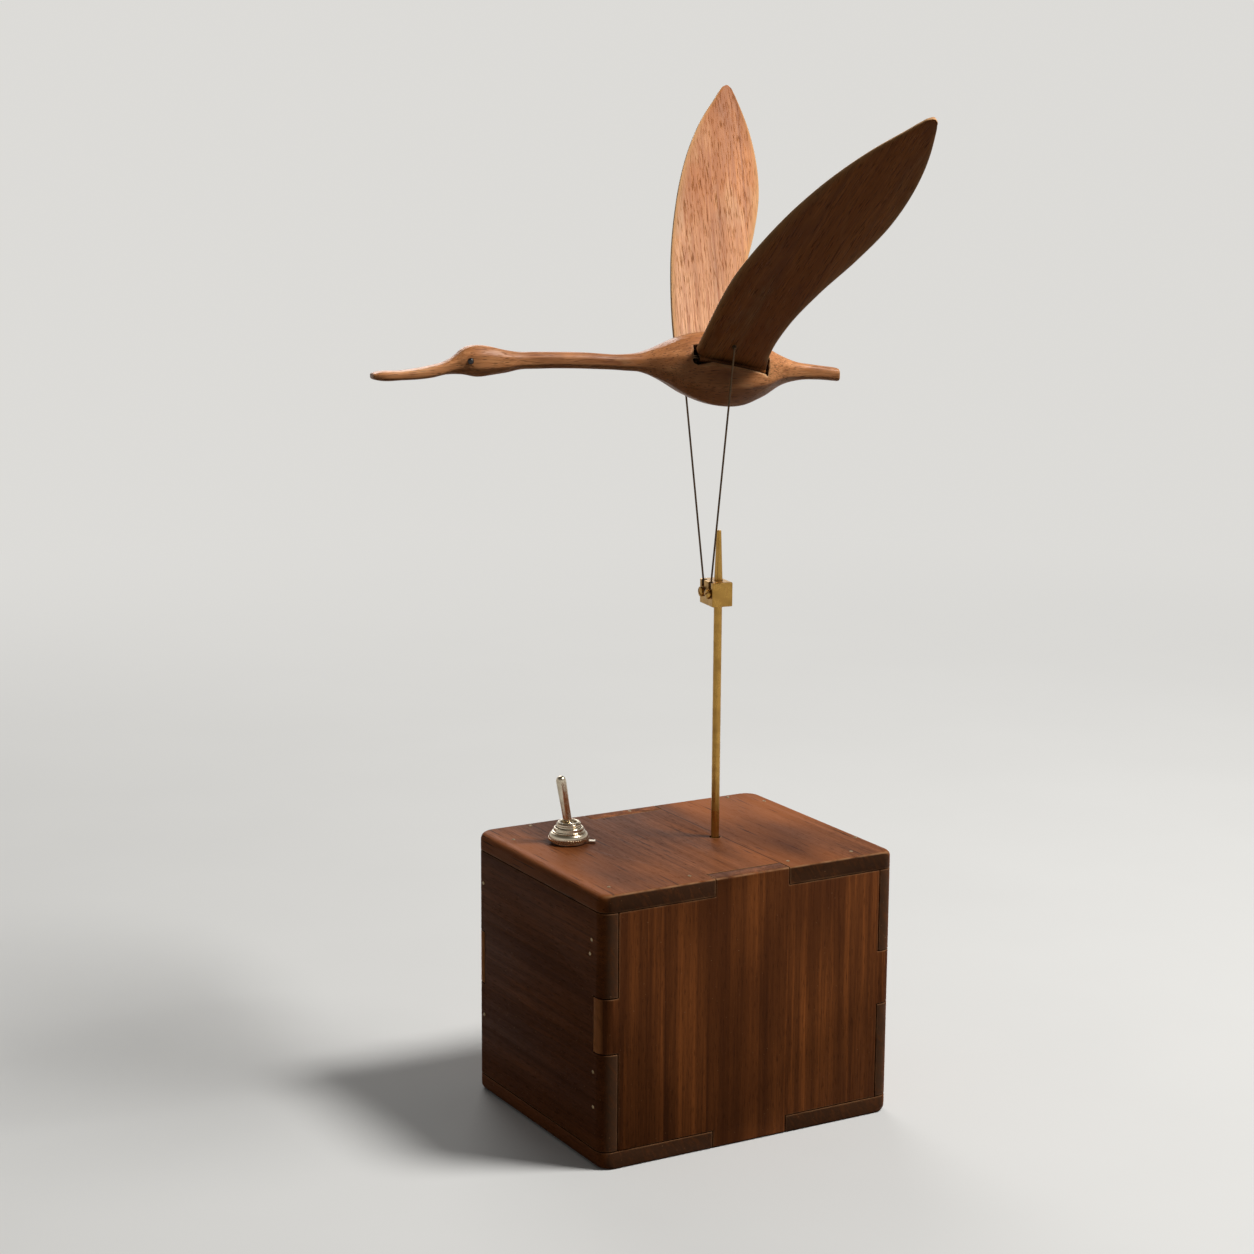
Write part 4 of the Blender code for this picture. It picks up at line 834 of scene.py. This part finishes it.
def sweep_grid(side):
    """Room of one wing in the body: the fan from its lowest to its highest pose, carried along the hinge.

    Towards the front the fan's floor drops a little further, and its front corner is a quarter circle.
    """
    front, rear = POCKET_ENDS[side]
    curve = POCKET_ROUND * (1 - np.cos(np.linspace(0.0, np.pi / 2, 9)))
    along = np.append(front + curve, rear)
    inset = np.append(POCKET_ROUND - np.sqrt(POCKET_ROUND**2 - (POCKET_ROUND - curve) ** 2), 0.0)
    drop = np.interp(along, (front, rear), POCKET_DROP) - inset
    low = WING_RISE[side] - FLAP_DOWN - drop / POCKET_LIP
    high = np.full(len(along), WING_RISE[side] + FLAP_UP)
    corners = []
    for angle, offset in ((low, -POCKET_GAP), (high, POCKET_GAP)):
        foot = offset * np.stack([-np.sin(angle), np.cos(angle)], axis=-1)
        corners.append((foot, foot + 4 * HINGE_OUT * np.stack([np.cos(angle), np.sin(angle)], axis=-1)))
    (low_foot, low_tip), (high_foot, high_tip) = corners
    outline = np.stack([low_foot, low_tip, 0.6 * (low_tip + high_tip), high_tip, high_foot], axis=1)
    return np.stack([np.repeat(along[:, None], 5, 1), side * outline[..., 0], outline[..., 1]], axis=-1)


def rod_grid(radius, start, end, around=48):
    """A plain round bar along X, as a cutter."""
    bar = turned_grid([(radius, start), (radius, end)], around)
    return placed(bar, turn(QUARTER, "Y"))


def wing_grid(side):
    """A thin superellipse section carried out along the span, swelling into a round knuckle at the hinge.

    Behind the pin the half thickness is the circle of the knuckle, and in front of it the larger of that
    circle and the plate, which thins towards the tip. Each edge bows by half a sine wave of its own depth.
    """
    rows = np.array(WING_OUTLINE) * MM
    span = rows[-1, 0]
    back = -KNUCKLE_RADIUS * np.cos(np.linspace(0.0, np.pi / 2, 14, endpoint=False))
    root = np.linspace(0.0, WING_ROOT_RUN, 16, endpoint=False)
    out = WING_ROOT_RUN + (span - WING_ROOT_RUN) * (1 - (1 - np.linspace(0.0, 1.0, 120)) ** 1.5)
    v = np.concatenate([back, root, out])
    at = np.clip(v, 0.0, span)
    bow = np.sin(np.pi * at / span)
    lead, trail = (smooth_curve(rows[:, 0], rows[:, i + 1], at) + WING_BOW[side][i] * bow for i in (0, 1))
    corner = WING_CORNER - np.sqrt(WING_CORNER**2 - np.clip(WING_CORNER_END - v, 0.0, WING_CORNER) ** 2)
    lead = lead + corner + WING_ROOT_SHIFT[side] * (1 - ease(v, *SHIFT_FADE))
    plate = (WING_ROOT_THICKNESS + (WING_TIP_THICKNESS - WING_ROOT_THICKNESS) * at / span) / 2
    knuckle = np.sqrt(np.clip(KNUCKLE_RADIUS**2 - v**2, 0.0, None))
    half = np.where(v < 0.0, knuckle, np.maximum(plate, knuckle))
    square = ROOT_SQUARENESS + (WING_SQUARENESS - ROOT_SQUARENESS) * ease(v, *SQUARE_FADE)
    chord, lens = superellipse(WING_AROUND, square[:, None])
    return np.stack([(lead + trail)[:, None] / 2 + (trail - lead)[:, None] / 2 * chord,
                     np.repeat(side * v[:, None], WING_AROUND, 1), half[:, None] * lens], axis=-1)


def wire_grid(radius, length, ball):
    """A straight wire with a rounded foot just above the origin and a ball at its top, spun about Z."""
    t = np.linspace(0.0, np.pi / 2, 6)
    foot = np.column_stack([radius * np.sin(t), WIRE_LIFT - radius * np.cos(t)])
    join = math.asin(radius / ball)
    a = np.linspace(math.pi - join, 0.0, 14)
    top = np.column_stack([ball * np.sin(a), length + ball * np.cos(a)])
    return turned_grid(np.vstack([foot, top]), 20)


def hook_point(side):
    """Where a wire's ball pivots, just under its wing."""
    return wing_frame(side) @ Vector((HOOK_ALONG[side], side * HOOK_OUT, -HOOK_UNDER))


def screw_grid():
    """A slotted cheese head on a shank, spun about Z: a low dome whose middle strip is sunk by the slot."""
    radius, height = SCREW_HEAD_RADIUS, SCREW_HEAD_HEIGHT
    t = np.linspace(0.0, 1.0, 26)
    crown = np.column_stack([radius * t, height - 0.3 * height * t**3])
    wall = np.column_stack([np.full(5, radius), np.linspace(0.66, 0.0, 5) * height])
    shank = np.array([(0.44 * radius, 0.0), (0.44 * radius, -SCREW_SHANK), (0.0, -SCREW_SHANK)])
    head = turned_grid(np.vstack([crown, wall]), 96)
    sunk = 1 - ease(np.abs(head[..., 1]), SCREW_SLOT / 2 - 0.05 * MM, SCREW_SLOT / 2 + 0.05 * MM)
    floor = np.minimum(head[..., 2], 0.5 * height)
    head[..., 2] = head[..., 2] + (floor - head[..., 2]) * sunk
    return np.concatenate([head, turned_grid(shank, 96)])


def lever_grid():
    """A bat-shaped lever: round tip, sides that narrow to the neck, and the pivot ball."""
    tip = np.linspace(0.0, np.pi / 2, 10)
    dome = np.column_stack([LEVER_TIP * np.sin(tip), LEVER_LENGTH - LEVER_TIP * (1 - np.cos(tip))])
    height = np.linspace(LEVER_LENGTH - LEVER_TIP, LEVER_BALL, 24)[1:]
    share = (height - LEVER_BALL) / (LEVER_LENGTH - LEVER_TIP - LEVER_BALL)
    sides = np.column_stack([LEVER_NECK + (LEVER_TIP - LEVER_NECK) * ease(share, 0.1, 1.0), height])
    ball = np.linspace(math.asin(LEVER_NECK / LEVER_BALL), np.pi, 18)
    foot = np.column_stack([LEVER_BALL * np.sin(ball), LEVER_BALL * np.cos(ball)])
    return turned_grid(np.vstack([dome, sides, foot]), 48)


def bushing_grid(pitch):
    """The switch's threaded neck: a lathe profile whose outer wall waves in and out along a helix."""
    foot = np.array(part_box("switch_bushing")[0])[2]
    floor = LEVER_PIVOT - BUSHING_BORE - 0.3 * MM
    wall = np.linspace(BUSHING_TOP - 0.5 * MM, foot, 110)
    top = [(0.0, floor), (BUSHING_BORE, floor), (BUSHING_BORE, BUSHING_TOP - 0.3 * MM),
           (BUSHING_BORE + 0.3 * MM, BUSHING_TOP), (BUSHING_RADIUS - 0.6 * MM, BUSHING_TOP)]
    top = eased_corners(top, 0.15 * MM, 4)
    profile = np.vstack([top, np.column_stack([np.full(110, BUSHING_RADIUS), wall]), (0.0, foot)])
    grid = turned_grid(profile, 64)
    angle = np.linspace(0.0, 1.0, 64, endpoint=False)
    turns = grid[..., 2] / pitch + angle
    thread = THREAD_DEPTH * (np.cos(2 * np.pi * turns) - 1)
    outer = np.zeros(len(profile))
    outer[len(top):-1] = 1.0
    scale = 1 + thread * outer[:, None] / BUSHING_RADIUS
    grid[..., :2] *= scale[..., None]
    return grid


def dress_nut_grid(teeth):
    """A beaded rim, a smooth dome, a lip ring and a plain collar: a closed lathe profile, its rim cut by teeth.

    The dome is a quarter ellipse from the lip out and down to the rim.
    """
    around = teeth * TOOTH_POINTS
    t = np.linspace(0.0, np.pi / 2, 10)
    dome = np.column_stack([NUT_LIP_RADIUS - 0.15 * MM + (DOME_RADIUS - NUT_LIP_RADIUS + 0.15 * MM) * np.sin(t),
                            DOME_BASE + (NUT_LIP - DOME_BASE) * np.cos(t)])
    collar = [(NUT_BORE, SKIRT_BASE), (NUT_BORE, COLLAR_TOP), (NUT_COLLAR_RADIUS - 0.2 * MM, COLLAR_TOP),
              (NUT_COLLAR_RADIUS, COLLAR_TOP - 0.25 * MM), (NUT_COLLAR_RADIUS, NUT_LIP + 0.55 * MM),
              (NUT_LIP_RADIUS, NUT_LIP + 0.45 * MM), (NUT_LIP_RADIUS, NUT_LIP + 0.1 * MM)]
    skirt = [(SKIRT_RADIUS, DOME_BASE - 0.1 * MM), (SKIRT_RADIUS, SKIRT_BASE + 0.2 * MM),
             (SKIRT_RADIUS - 0.2 * MM, SKIRT_BASE), (NUT_BORE, SKIRT_BASE)]
    profile = np.vstack([eased_corners(collar, 0.12 * MM, 4), dome, eased_corners(skirt, 0.14 * MM, 4)])
    grid = turned_grid(profile, around)
    phase = np.linspace(0.0, 2 * np.pi * teeth, around, endpoint=False)
    tooth = 0.5 - 0.5 * np.cos(phase)
    cut = ease(profile[:, 0], DOME_RADIUS - 0.05 * MM, SKIRT_RADIUS - 0.1 * MM)
    grid[..., :2] *= (1 - TOOTH_DEPTH / SKIRT_RADIUS * tooth * cut[:, None])[..., None]
    return grid


def lift_rod_grid():
    """The brass rod: straight, then drawn down to a small rounded tip."""
    low, high = (corner[2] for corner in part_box("lift_rod"))
    profile = [(0.0, high), (ROD_TIP_RADIUS, high), (ROD_RADIUS, high - ROD_TAPER), (ROD_RADIUS, low),
               (0.0, low)]
    return turned_grid(eased_corners(profile, 0.4 * MM, 6), 48)


def floor_grid(reach):
    """A flat round floor, as rings whose radius grows to reach."""
    return turned_grid([(share * reach, 0.0) for share in (0.0, 0.05, 0.15, 0.4, 1.0)], 96)


# ---------------------------------------------------------------- settings


def colour_setting(name, description, default):
    return bpy.props.FloatVectorProperty(name=name, description=description, default=default, subtype="COLOR",
                                         size=3, min=0.0, max=1.0)


def length_setting(name, description, default, low, high):
    return bpy.props.FloatProperty(name=name, description=description, default=default, min=low, max=high,
                                   unit="LENGTH", precision=5)


def level_setting(name, description, default):
    return bpy.props.FloatProperty(name=name, description=description, default=default, min=0.0, max=4.0,
                                   subtype="FACTOR")


class WalnutSettings(bpy.types.PropertyGroup):
    """Finish of the box's boards and the brads in them."""

    light_wood: colour_setting("Light wood", "Palest bands of the figure", (0.420, 0.125, 0.030))
    middle_wood: colour_setting("Middle wood", "Wood between the bands", (0.205, 0.062, 0.0165))
    dark_wood: colour_setting("Dark wood", "Darkest bands and fibres", (0.070, 0.020, 0.0065))
    pore: colour_setting("Pores", "Open pores and short cracks", (0.022, 0.007, 0.003))
    end_wood: colour_setting("End grain", "Cut ends of the boards", (0.056, 0.025, 0.012))
    side_end_wood: colour_setting("Side end grain", "Cut ends of the side boards", (0.088, 0.043, 0.022))
    # Pale colour of worn edges, also used for painted highlights
    worn_edge: colour_setting("Worn edge", "Edges rubbed pale", (0.400, 0.200, 0.090))
    # Sawn sides, their colour painted paler as if lit
    tab_wood: colour_setting("Side tabs", "Sawn sides of the front and back boards", (0.660, 0.240, 0.080))
    band_width: length_setting("Band width", "Width of the figure's broad bands", 0.0085, 0.002, 0.03)
    eased_edge: length_setting("Eased edge", "How far the boards' sharp edges are eased", 0.00025, 0.0, 0.001)
    brad_radius: length_setting("Brad radius", "Radius of a brad's head", 0.0007, 0.0002, 0.002)


class CarvingSettings(bpy.types.PropertyGroup):
    """Finish of the carved bird."""

    light_wood: colour_setting("Light wood", "Palest bands of the carved wood", (0.760, 0.285, 0.078))
    dark_wood: colour_setting("Dark wood", "Darker bands and fibres", (0.440, 0.140, 0.036))
    patch: colour_setting("Patches", "Dark patches and veins", (0.270, 0.080, 0.020))
    body_light: colour_setting("Body light wood", "Palest bands of the body", (0.920, 0.415, 0.170))
    body_dark: colour_setting("Body dark wood", "Darker bands and fibres of the body", (0.500, 0.185, 0.060))
    body_patch: colour_setting("Body patches", "Dark patches and veins of the body", (0.200, 0.056, 0.018))
    pore: colour_setting("Pores", "Short open pores", (0.130, 0.038, 0.011))
    # Pale colour of worn edges, also used for painted highlights
    worn_edge: colour_setting("Worn edge", "Edges rubbed pale", (0.860, 0.500, 0.235))
    # Colour of the painted highlight on the far wing's root
    pale_root: colour_setting("Pale root", "Far wing's wood near the body", (0.900, 0.500, 0.250))
    # Colour of the painted shade in the slots and hollows
    grime: colour_setting("Grime", "Oil and dirt in the slots", (0.016, 0.007, 0.004))
    eye: colour_setting("Eye", "Bead of the eye", (0.006, 0.005, 0.005))
    band_width: length_setting("Band width", "Width of the wood's broad bands", 0.011, 0.002, 0.03)
    knife_depth: length_setting("Knife depth", "Depth of the knife facets on the body", 0.00007, 0.0, 0.0005)


class MetalSettings(bpy.types.PropertyGroup):
    """Finish of the rod, the switch and the wires."""

    brass: colour_setting("Brass", "Rod, block and screws", (0.470, 0.265, 0.066))
    nickel: colour_setting("Nickel", "Toggle switch", (0.640, 0.550, 0.420))
    wire: colour_setting("Wire", "Spring wires and hinge pins", (0.085, 0.050, 0.026))
    wire_radius: length_setting("Wire radius", "Radius of a spring wire", 0.00035, 0.0002, 0.0008)
    wire_ball: length_setting("Wire ball", "Radius of the ball at a wire's top", 0.00062, 0.0004, 0.0012)
    thread_pitch: length_setting("Thread pitch", "Pitch of the switch's thread", 0.00075, 0.0003, 0.002)
    skirt_teeth: bpy.props.IntProperty(name="Skirt teeth", description="Teeth round the dress nut's skirt",
                                       default=48, min=12, max=96)


class StudioSettings(bpy.types.PropertyGroup):
    """Floor, backdrop and lamps."""

    floor: colour_setting("Floor", "Floor and backdrop", (0.800, 0.790, 0.760))
    surround: colour_setting("Surround", "Pale backdrop that the floor fades into", (0.720, 0.710, 0.685))
    ceiling: colour_setting("Ceiling", "Dim room above the backdrop, as metal shows it", (0.120, 0.110, 0.095))
    bounce: colour_setting("Bounce", "Floor as the object's dull surfaces see it", (0.045, 0.039, 0.028))
    reach: length_setting("Floor radius", "How far the floor reaches", 9.0, 2.0, 30.0)
    fade_start: length_setting("Fade start", "Where the floor starts to turn into the surround", 0.35, 0.1, 4.0)
    fade_end: length_setting("Fade end", "Where the floor has turned into the surround", 1.3, 0.2, 8.0)
    key: level_setting("Key", "Light from above and the right, 1 renders a colour as written", 1.0)
    rim: level_setting("Rim", "Light from behind", 0.25)
    sky: level_setting("Sky", "Even light from above", 0.11)


SETTINGS = {"walnut": WalnutSettings, "carving": CarvingSettings, "metal": MetalSettings,
            "studio": StudioSettings}


def settings(context, name):
    return getattr(context.scene, f"flying_bird_{name}")


def shared_metal(context, kind):
    """A metal that several pieces share, made once and then found by its name."""
    name, tarnish, roughness, more = SHARED_METALS[kind]
    colour = getattr(settings(context, "metal"), kind)
    return bpy.data.materials.get(name) or metal_finish(name, colour, tarnish, roughness, **more)


# ---------------------------------------------------------------- operators


class FLYINGBIRD_OT_walnut_box(bpy.types.Operator):
    """Rounds and finishes the six walnut boards, and sets the brads in them"""

    bl_idname = "flyingbird.walnut_box"
    bl_label = "Walnut box"

    def execute(self, context):
        look = settings(context, "walnut")
        # The front and back boards' sawn sides take a colour painted paler, as if lit
        upright = (ORIGIN, (1.0, 0.0, 0.0), look.tab_wood)
        side = ((QUARTER, 0.0, 0.0), (0.0, 1.0, 0.0), look.side_end_wood)
        level = ((QUARTER, 0.0, 0.0), (0.0, 1.0, 0.0), look.end_wood)
        boards = (
            ("front_panel", upright, (0.31, 0.02, 0.0), 0.85, 0.0, None),
            ("back_panel", upright, (0.77, 0.12, 0.1), 0.85, 0.0, None),
            ("left_panel", side, (0.13, 0.41, 0.2), 0.5, 0.0, None),
            ("right_panel", side, (0.53, 0.64, 0.3), 0.5, 0.0, None),
            ("lid", level, (0.24, 0.36, 0.7), 0.5, 0.85, LID_SEAM),
            ("base_panel", level, (0.91, 0.16, 0.5), 0.5, 0.4, None),
        )
        low, high = box_corners()
        block = mesh_of("box_block", block_grid(low + FACE_TRIM, high - FACE_TRIM))
        for node, grain, *figure in boards:
            finish = walnut_finish(f"walnut_{node}", look, *grain, *figure)
            mesh = board_mesh(node, block, look.eased_edge)
            piece(f"walnut_{node}", mesh, finish, "box", (node,), 25.0)
        rise = look.brad_radius / 3
        mesh = mesh_of("box_brads", dome_grid(look.brad_radius, rise, rise, 5, 14), *brad_frames())
        finish = metal_finish("brad_brass", BRAD_BRASS, BRAD_TARNISH, 0.38, stretch=1.0)
        piece("box_brads", mesh, finish, "box")
        return {"FINISHED"}


class FLYINGBIRD_OT_toggle_switch(bpy.types.Operator):
    """Builds the switch's lever, threaded neck and knurled dress nut, and finishes its other parts"""

    bl_idname = "flyingbird.toggle_switch"
    bl_label = "Toggle switch"

    def execute(self, context):
        metal = settings(context, "metal")
        nickel = shared_metal(context, "nickel")
        axis = Matrix.Translation((SWITCH_X, SWITCH_Y, 0.0))
        pivot = Matrix.Translation((SWITCH_X, SWITCH_Y, LEVER_PIVOT)) @ turn(LEVER_LEAN, "Y")
        parts = (
            ("switch_lever", lever_grid(), pivot, "toggle", "toggle_lever"),
            ("switch_neck", bushing_grid(metal.thread_pitch), axis, "box", "switch_bushing"),
            ("switch_nut", dress_nut_grid(metal.skirt_teeth), axis, "box", "switch_dress_nut"),
        )
        for name, grid, place, body, node in parts:
            piece(name, mesh_of(name, grid, place), nickel, body, (node,))
        dress(nickel, "switch_key_washer", "switch_lock_nut")
        dress(moulded_finish("switch_plastic", BLACK_PLASTIC, 0.45), "switch_body")
        return {"FINISHED"}


class FLYINGBIRD_OT_lift_rod(bpy.types.Operator):
    """Builds the brass rod and the clamp's slotted screws, and finishes the clamp block"""

    bl_idname = "flyingbird.lift_rod"
    bl_label = "Lift rod"

    def execute(self, context):
        brass = shared_metal(context, "brass")
        lift = lift_frame()
        piece("brass_rod", mesh_of("brass_rod", lift_rod_grid(), lift), brass, "rod", ("lift_rod",))
        for side, name in SIDES.items():
            seat = aimed((SCREW_FACE, side * SCREW_OUT, SCREW_Z), (-1.0, 0.0, 0.0))
            mesh = mesh_of(f"block_screw_{name}", screw_grid(), lift @ seat @ turn(SLOT_TURN[side], "Z"))
            piece(f"block_screw_{name}", mesh, brass, "rod", (f"clamp_screw_{name}",))
        dress(brass, "clamp_block")
        return {"FINISHED"}


class FLYINGBIRD_OT_spring_wires(bpy.types.Operator):
    """Builds the two spring wires and the small hooks that hold them on the wings"""

    bl_idname = "flyingbird.spring_wires"
    bl_label = "Spring wires"

    def execute(self, context):
        metal = settings(context, "metal")
        finish = shared_metal(context, "wire")
        for side, name in SIDES.items():
            foot = lift_frame() @ Vector((WIRE_FOOT[0], side * WIRE_FOOT[1], WIRE_FOOT[2]))
            reach = hook_point(side) - foot
            grid = wire_grid(metal.wire_radius, reach.length, metal.wire_ball)
            mesh = mesh_of(f"spring_wire_{name}", grid, aimed(foot, reach))
            piece(f"spring_wire_{name}", mesh, finish, f"{name}_stay", (f"{name}_wire",))
            spot = Matrix.Translation((HOOK_ALONG[side], side * HOOK_OUT, -WING_ROOT_THICKNESS / 2))
            dome = dome_grid(HOOK_RADIUS, HOOK_HEIGHT, HOOK_HEIGHT / 2, 8, 24)
            seat = mesh_of(f"wing_hook_{name}", dome, wing_frame(side) @ spot @ turn(math.pi, "X"))
            piece(f"wing_hook_{name}", seat, finish, f"{name}_flapper")
        return {"FINISHED"}


class FLYINGBIRD_OT_carved_body(bpy.types.Operator):
    """Carves the bird's bill, head, neck, body and tail as one skin, with the wings' pockets and the eyes"""

    bl_idname = "flyingbird.carved_body"
    bl_label = "Carved body"

    def execute(self, context):
        look = settings(context, "carving")
        bird = bird_frame()
        skin = mesh_of("carved_body", body_grid(look.knife_depth), bird)
        cutters = []
        for side in SIDES:
            front, rear = POCKET_ENDS[side]
            barrel = rod_grid(POCKET_RADIUS, front - BARREL_SPARE, rear + BARREL_SPARE)
            for grid in (barrel, sweep_grid(side)):
                cutters.append(mesh_of("pocket_cutter", grid, hinge_frame(side)))
        woods = (look.body_light, look.body_dark, look.body_patch)
        along = bird @ turn(QUARTER, "Y")
        finish = carved_finish("carved_wood_body", look, woods, along, **BODY_CARVING)
        piece("carved_body", cut_mesh(skin, cutters), finish, "bird", ("bird_body",))
        t = np.linspace(0.0, np.pi, 20)
        bead = turned_grid(np.column_stack([EYE_RADIUS * np.sin(t), EYE_RADIUS * np.cos(t)]), 32)
        x, y, z = EYE_PLACE
        eyes = mesh_of("bead_eyes", bead, *(bird @ Matrix.Translation((x, side * y, z)) for side in SIDES))
        finish = moulded_finish("eye_bead", look.eye, 0.34, 0.3)
        piece("bead_eyes", eyes, finish, "bird", ("left_eye", "right_eye"))
        dress(shared_metal(context, "wire"), "left_hinge_pin", "right_hinge_pin")
        return {"FINISHED"}


class FLYINGBIRD_OT_wings(bpy.types.Operator):
    """Builds the two wings with their hinge knuckles"""

    bl_idname = "flyingbird.wings"
    bl_label = "Wings"

    def execute(self, context):
        look = settings(context, "carving")
        woods = (look.light_wood, look.dark_wood, look.patch)
        halves = (WING_ROOT_THICKNESS / 2, WING_TIP_THICKNESS / 2)
        for side, name in SIDES.items():
            place = wing_frame(side)
            skin = mesh_of(f"carved_wing_{name}", wing_grid(side), place)
            bore = mesh_of("pin_bore", rod_grid(PIN_BORE, -BORE_REACH, BORE_REACH, 24), place)
            rim = (*halves, WING_OUTLINE[-1][0] * MM, ROOT_HIGHLIGHT[side])
            along = place @ turn(-QUARTER, "X")
            finish = carved_finish(f"carved_wood_wing_{name}", look, woods, along, rim=rim, **WING_CARVING)
            mesh = cut_mesh(skin, [bore])
            piece(f"carved_wing_{name}", mesh, finish, f"{name}_flapper", (f"{name}_wing",))
        return {"FINISHED"}


class FLYINGBIRD_OT_drive(bpy.types.Operator):
    """Finishes the motor, crank, link and cells inside the box"""

    bl_idname = "flyingbird.drive"
    bl_label = "Drive in the box"

    def execute(self, context):
        brass = shared_metal(context, "brass")
        plate = metal_finish("motor_plate", MOTOR_STEEL, MOTOR_TARNISH, 0.34, (QUARTER, 0.0, 0.0))
        dress(brass, "rod_clevis", "connecting_link", "crank_disc", "rod_guide_bush")
        dress(plate, "gear_motor", "gearbox", "motor_bracket", "output_shaft", "crank_pin", "wrist_pin")
        dress(moulded_finish("tray_plastic", BLACK_PLASTIC, 0.45), "battery_holder")
        dress(moulded_finish("cell_sleeve_film", CELL_FILM, 0.38), "battery_left", "battery_right")
        return {"FINISHED"}


class FLYINGBIRD_OT_studio(bpy.types.Operator):
    """Sets up the pale floor, the soft lamps and the camera at the photograph's angle"""

    bl_idname = "flyingbird.studio"
    bl_label = "Studio"

    def execute(self, context):
        look = settings(context, "studio")
        scene = context.scene
        scene.view_settings.view_transform = "Standard"
        mesh = mesh_of("studio_floor", floor_grid(look.reach), close_ends=False)
        finish, w, shader, place = new_finish("studio_paper")
        nodes = finish.node_tree.nodes
        mottle = w.spread(w.noise(place, 9.0, 3.0), 0.3, 0.7)
        pale = w.mix(mottle, look.floor, tuple(0.98 * value for value in look.floor))
        w.give(shader, {"Base Color": w.mix(seen_rays(w), look.bounce, pale), "Roughness": 0.9,
                        "Specular IOR Level": 0.0})
        distance = w.vector_math("LENGTH", place)["Value"]
        far = w.spread(distance, look.fade_start, look.fade_end, interpolation_type="SMOOTHSTEP")
        surround = w.node("Emission", {"Color": w.mix(seen_rays(w), look.bounce, look.surround)})
        paper = nodes["Principled BSDF"].outputs[0]
        blend = w.node("MixShader", {"Fac": far, 1: paper, 2: surround.outputs[0]})
        w.put(nodes["Material Output"].inputs["Surface"], blend.outputs[0])
        mesh.materials.append(finish)
        floor = bpy.data.objects.new("studio_floor", mesh)
        scene.collection.objects.link(floor)

        aim = Vector(LAMP_AIM)
        for name, (spot, size), level in (("key_lamp", KEY_LAMP, look.key), ("rim_lamp", RIM_LAMP, look.rim)):
            lamp = bpy.data.lights.new(name, "AREA")
            lamp.shape = "DISK"
            lamp.size = size
            lamp.energy = level * (math.pi * (aim - Vector(spot)).length) ** 2
            obj = bpy.data.objects.new(name, lamp)
            obj.matrix_world = aimed(spot, Vector(spot) - aim)
            scene.collection.objects.link(obj)

        world = bpy.data.worlds.new("studio_sky")
        world.use_nodes = True
        w = Wiring(world.node_tree)
        height = w.axes(w.node("TexCoord").outputs["Generated"])["Z"]
        above = w.spread(height, *CEILING_RISE, interpolation_type="SMOOTHSTEP")
        seen = w.mix(above, look.surround, look.ceiling)
        sky = w.mix(seen_rays(w), (look.sky,) * 3, seen)
        w.put(world.node_tree.nodes["Background"].inputs["Color"], sky)
        scene.world = world

        lens = bpy.data.cameras.new("photo_camera")
        lens.sensor_width = CAMERA_FRAME
        lens.lens = CAMERA_LENS
        camera = bpy.data.objects.new("photo_camera", lens)
        camera.matrix_world = (Matrix.Translation(CAMERA_PLACE) @ turn(-CAMERA_YAW, "Z")
                               @ turn(QUARTER + CAMERA_PITCH, "X") @ turn(CAMERA_ROLL, "Z"))
        scene.collection.objects.link(camera)
        scene.camera = camera
        return {"FINISHED"}


OPERATORS = (
    FLYINGBIRD_OT_studio,
    FLYINGBIRD_OT_walnut_box,
    FLYINGBIRD_OT_drive,
    FLYINGBIRD_OT_toggle_switch,
    FLYINGBIRD_OT_lift_rod,
    FLYINGBIRD_OT_spring_wires,
    FLYINGBIRD_OT_carved_body,
    FLYINGBIRD_OT_wings,
)


class FLYINGBIRD_PT_sidebar(bpy.types.Panel):
    """Settings and operators of the flying bird"""

    bl_label = "Flying bird"
    bl_idname = "FLYINGBIRD_PT_sidebar"
    bl_space_type = "VIEW_3D"
    bl_region_type = "UI"
    bl_category = "Flying bird"

    def draw(self, context):
        for name, group in SETTINGS.items():
            box = self.layout.box()
            box.label(text=name.capitalize())
            for setting in group.__annotations__:
                box.prop(settings(context, name), setting)
        for operator in OPERATORS:
            self.layout.operator(operator.bl_idname)


CLASSES = (*SETTINGS.values(), *OPERATORS, FLYINGBIRD_PT_sidebar)


def register():
    for made in CLASSES:
        bpy.utils.register_class(made)
    for name, group in SETTINGS.items():
        setattr(bpy.types.Scene, f"flying_bird_{name}", bpy.props.PointerProperty(type=group))


def unregister():
    for name in SETTINGS:
        delattr(bpy.types.Scene, f"flying_bird_{name}")
    for made in reversed(CLASSES):
        bpy.utils.unregister_class(made)


def main():
    register()
    for operator in OPERATORS:
        getattr(bpy.ops.flyingbird, operator.bl_idname.split(".")[1])()


if __name__ == "__main__":
    main()
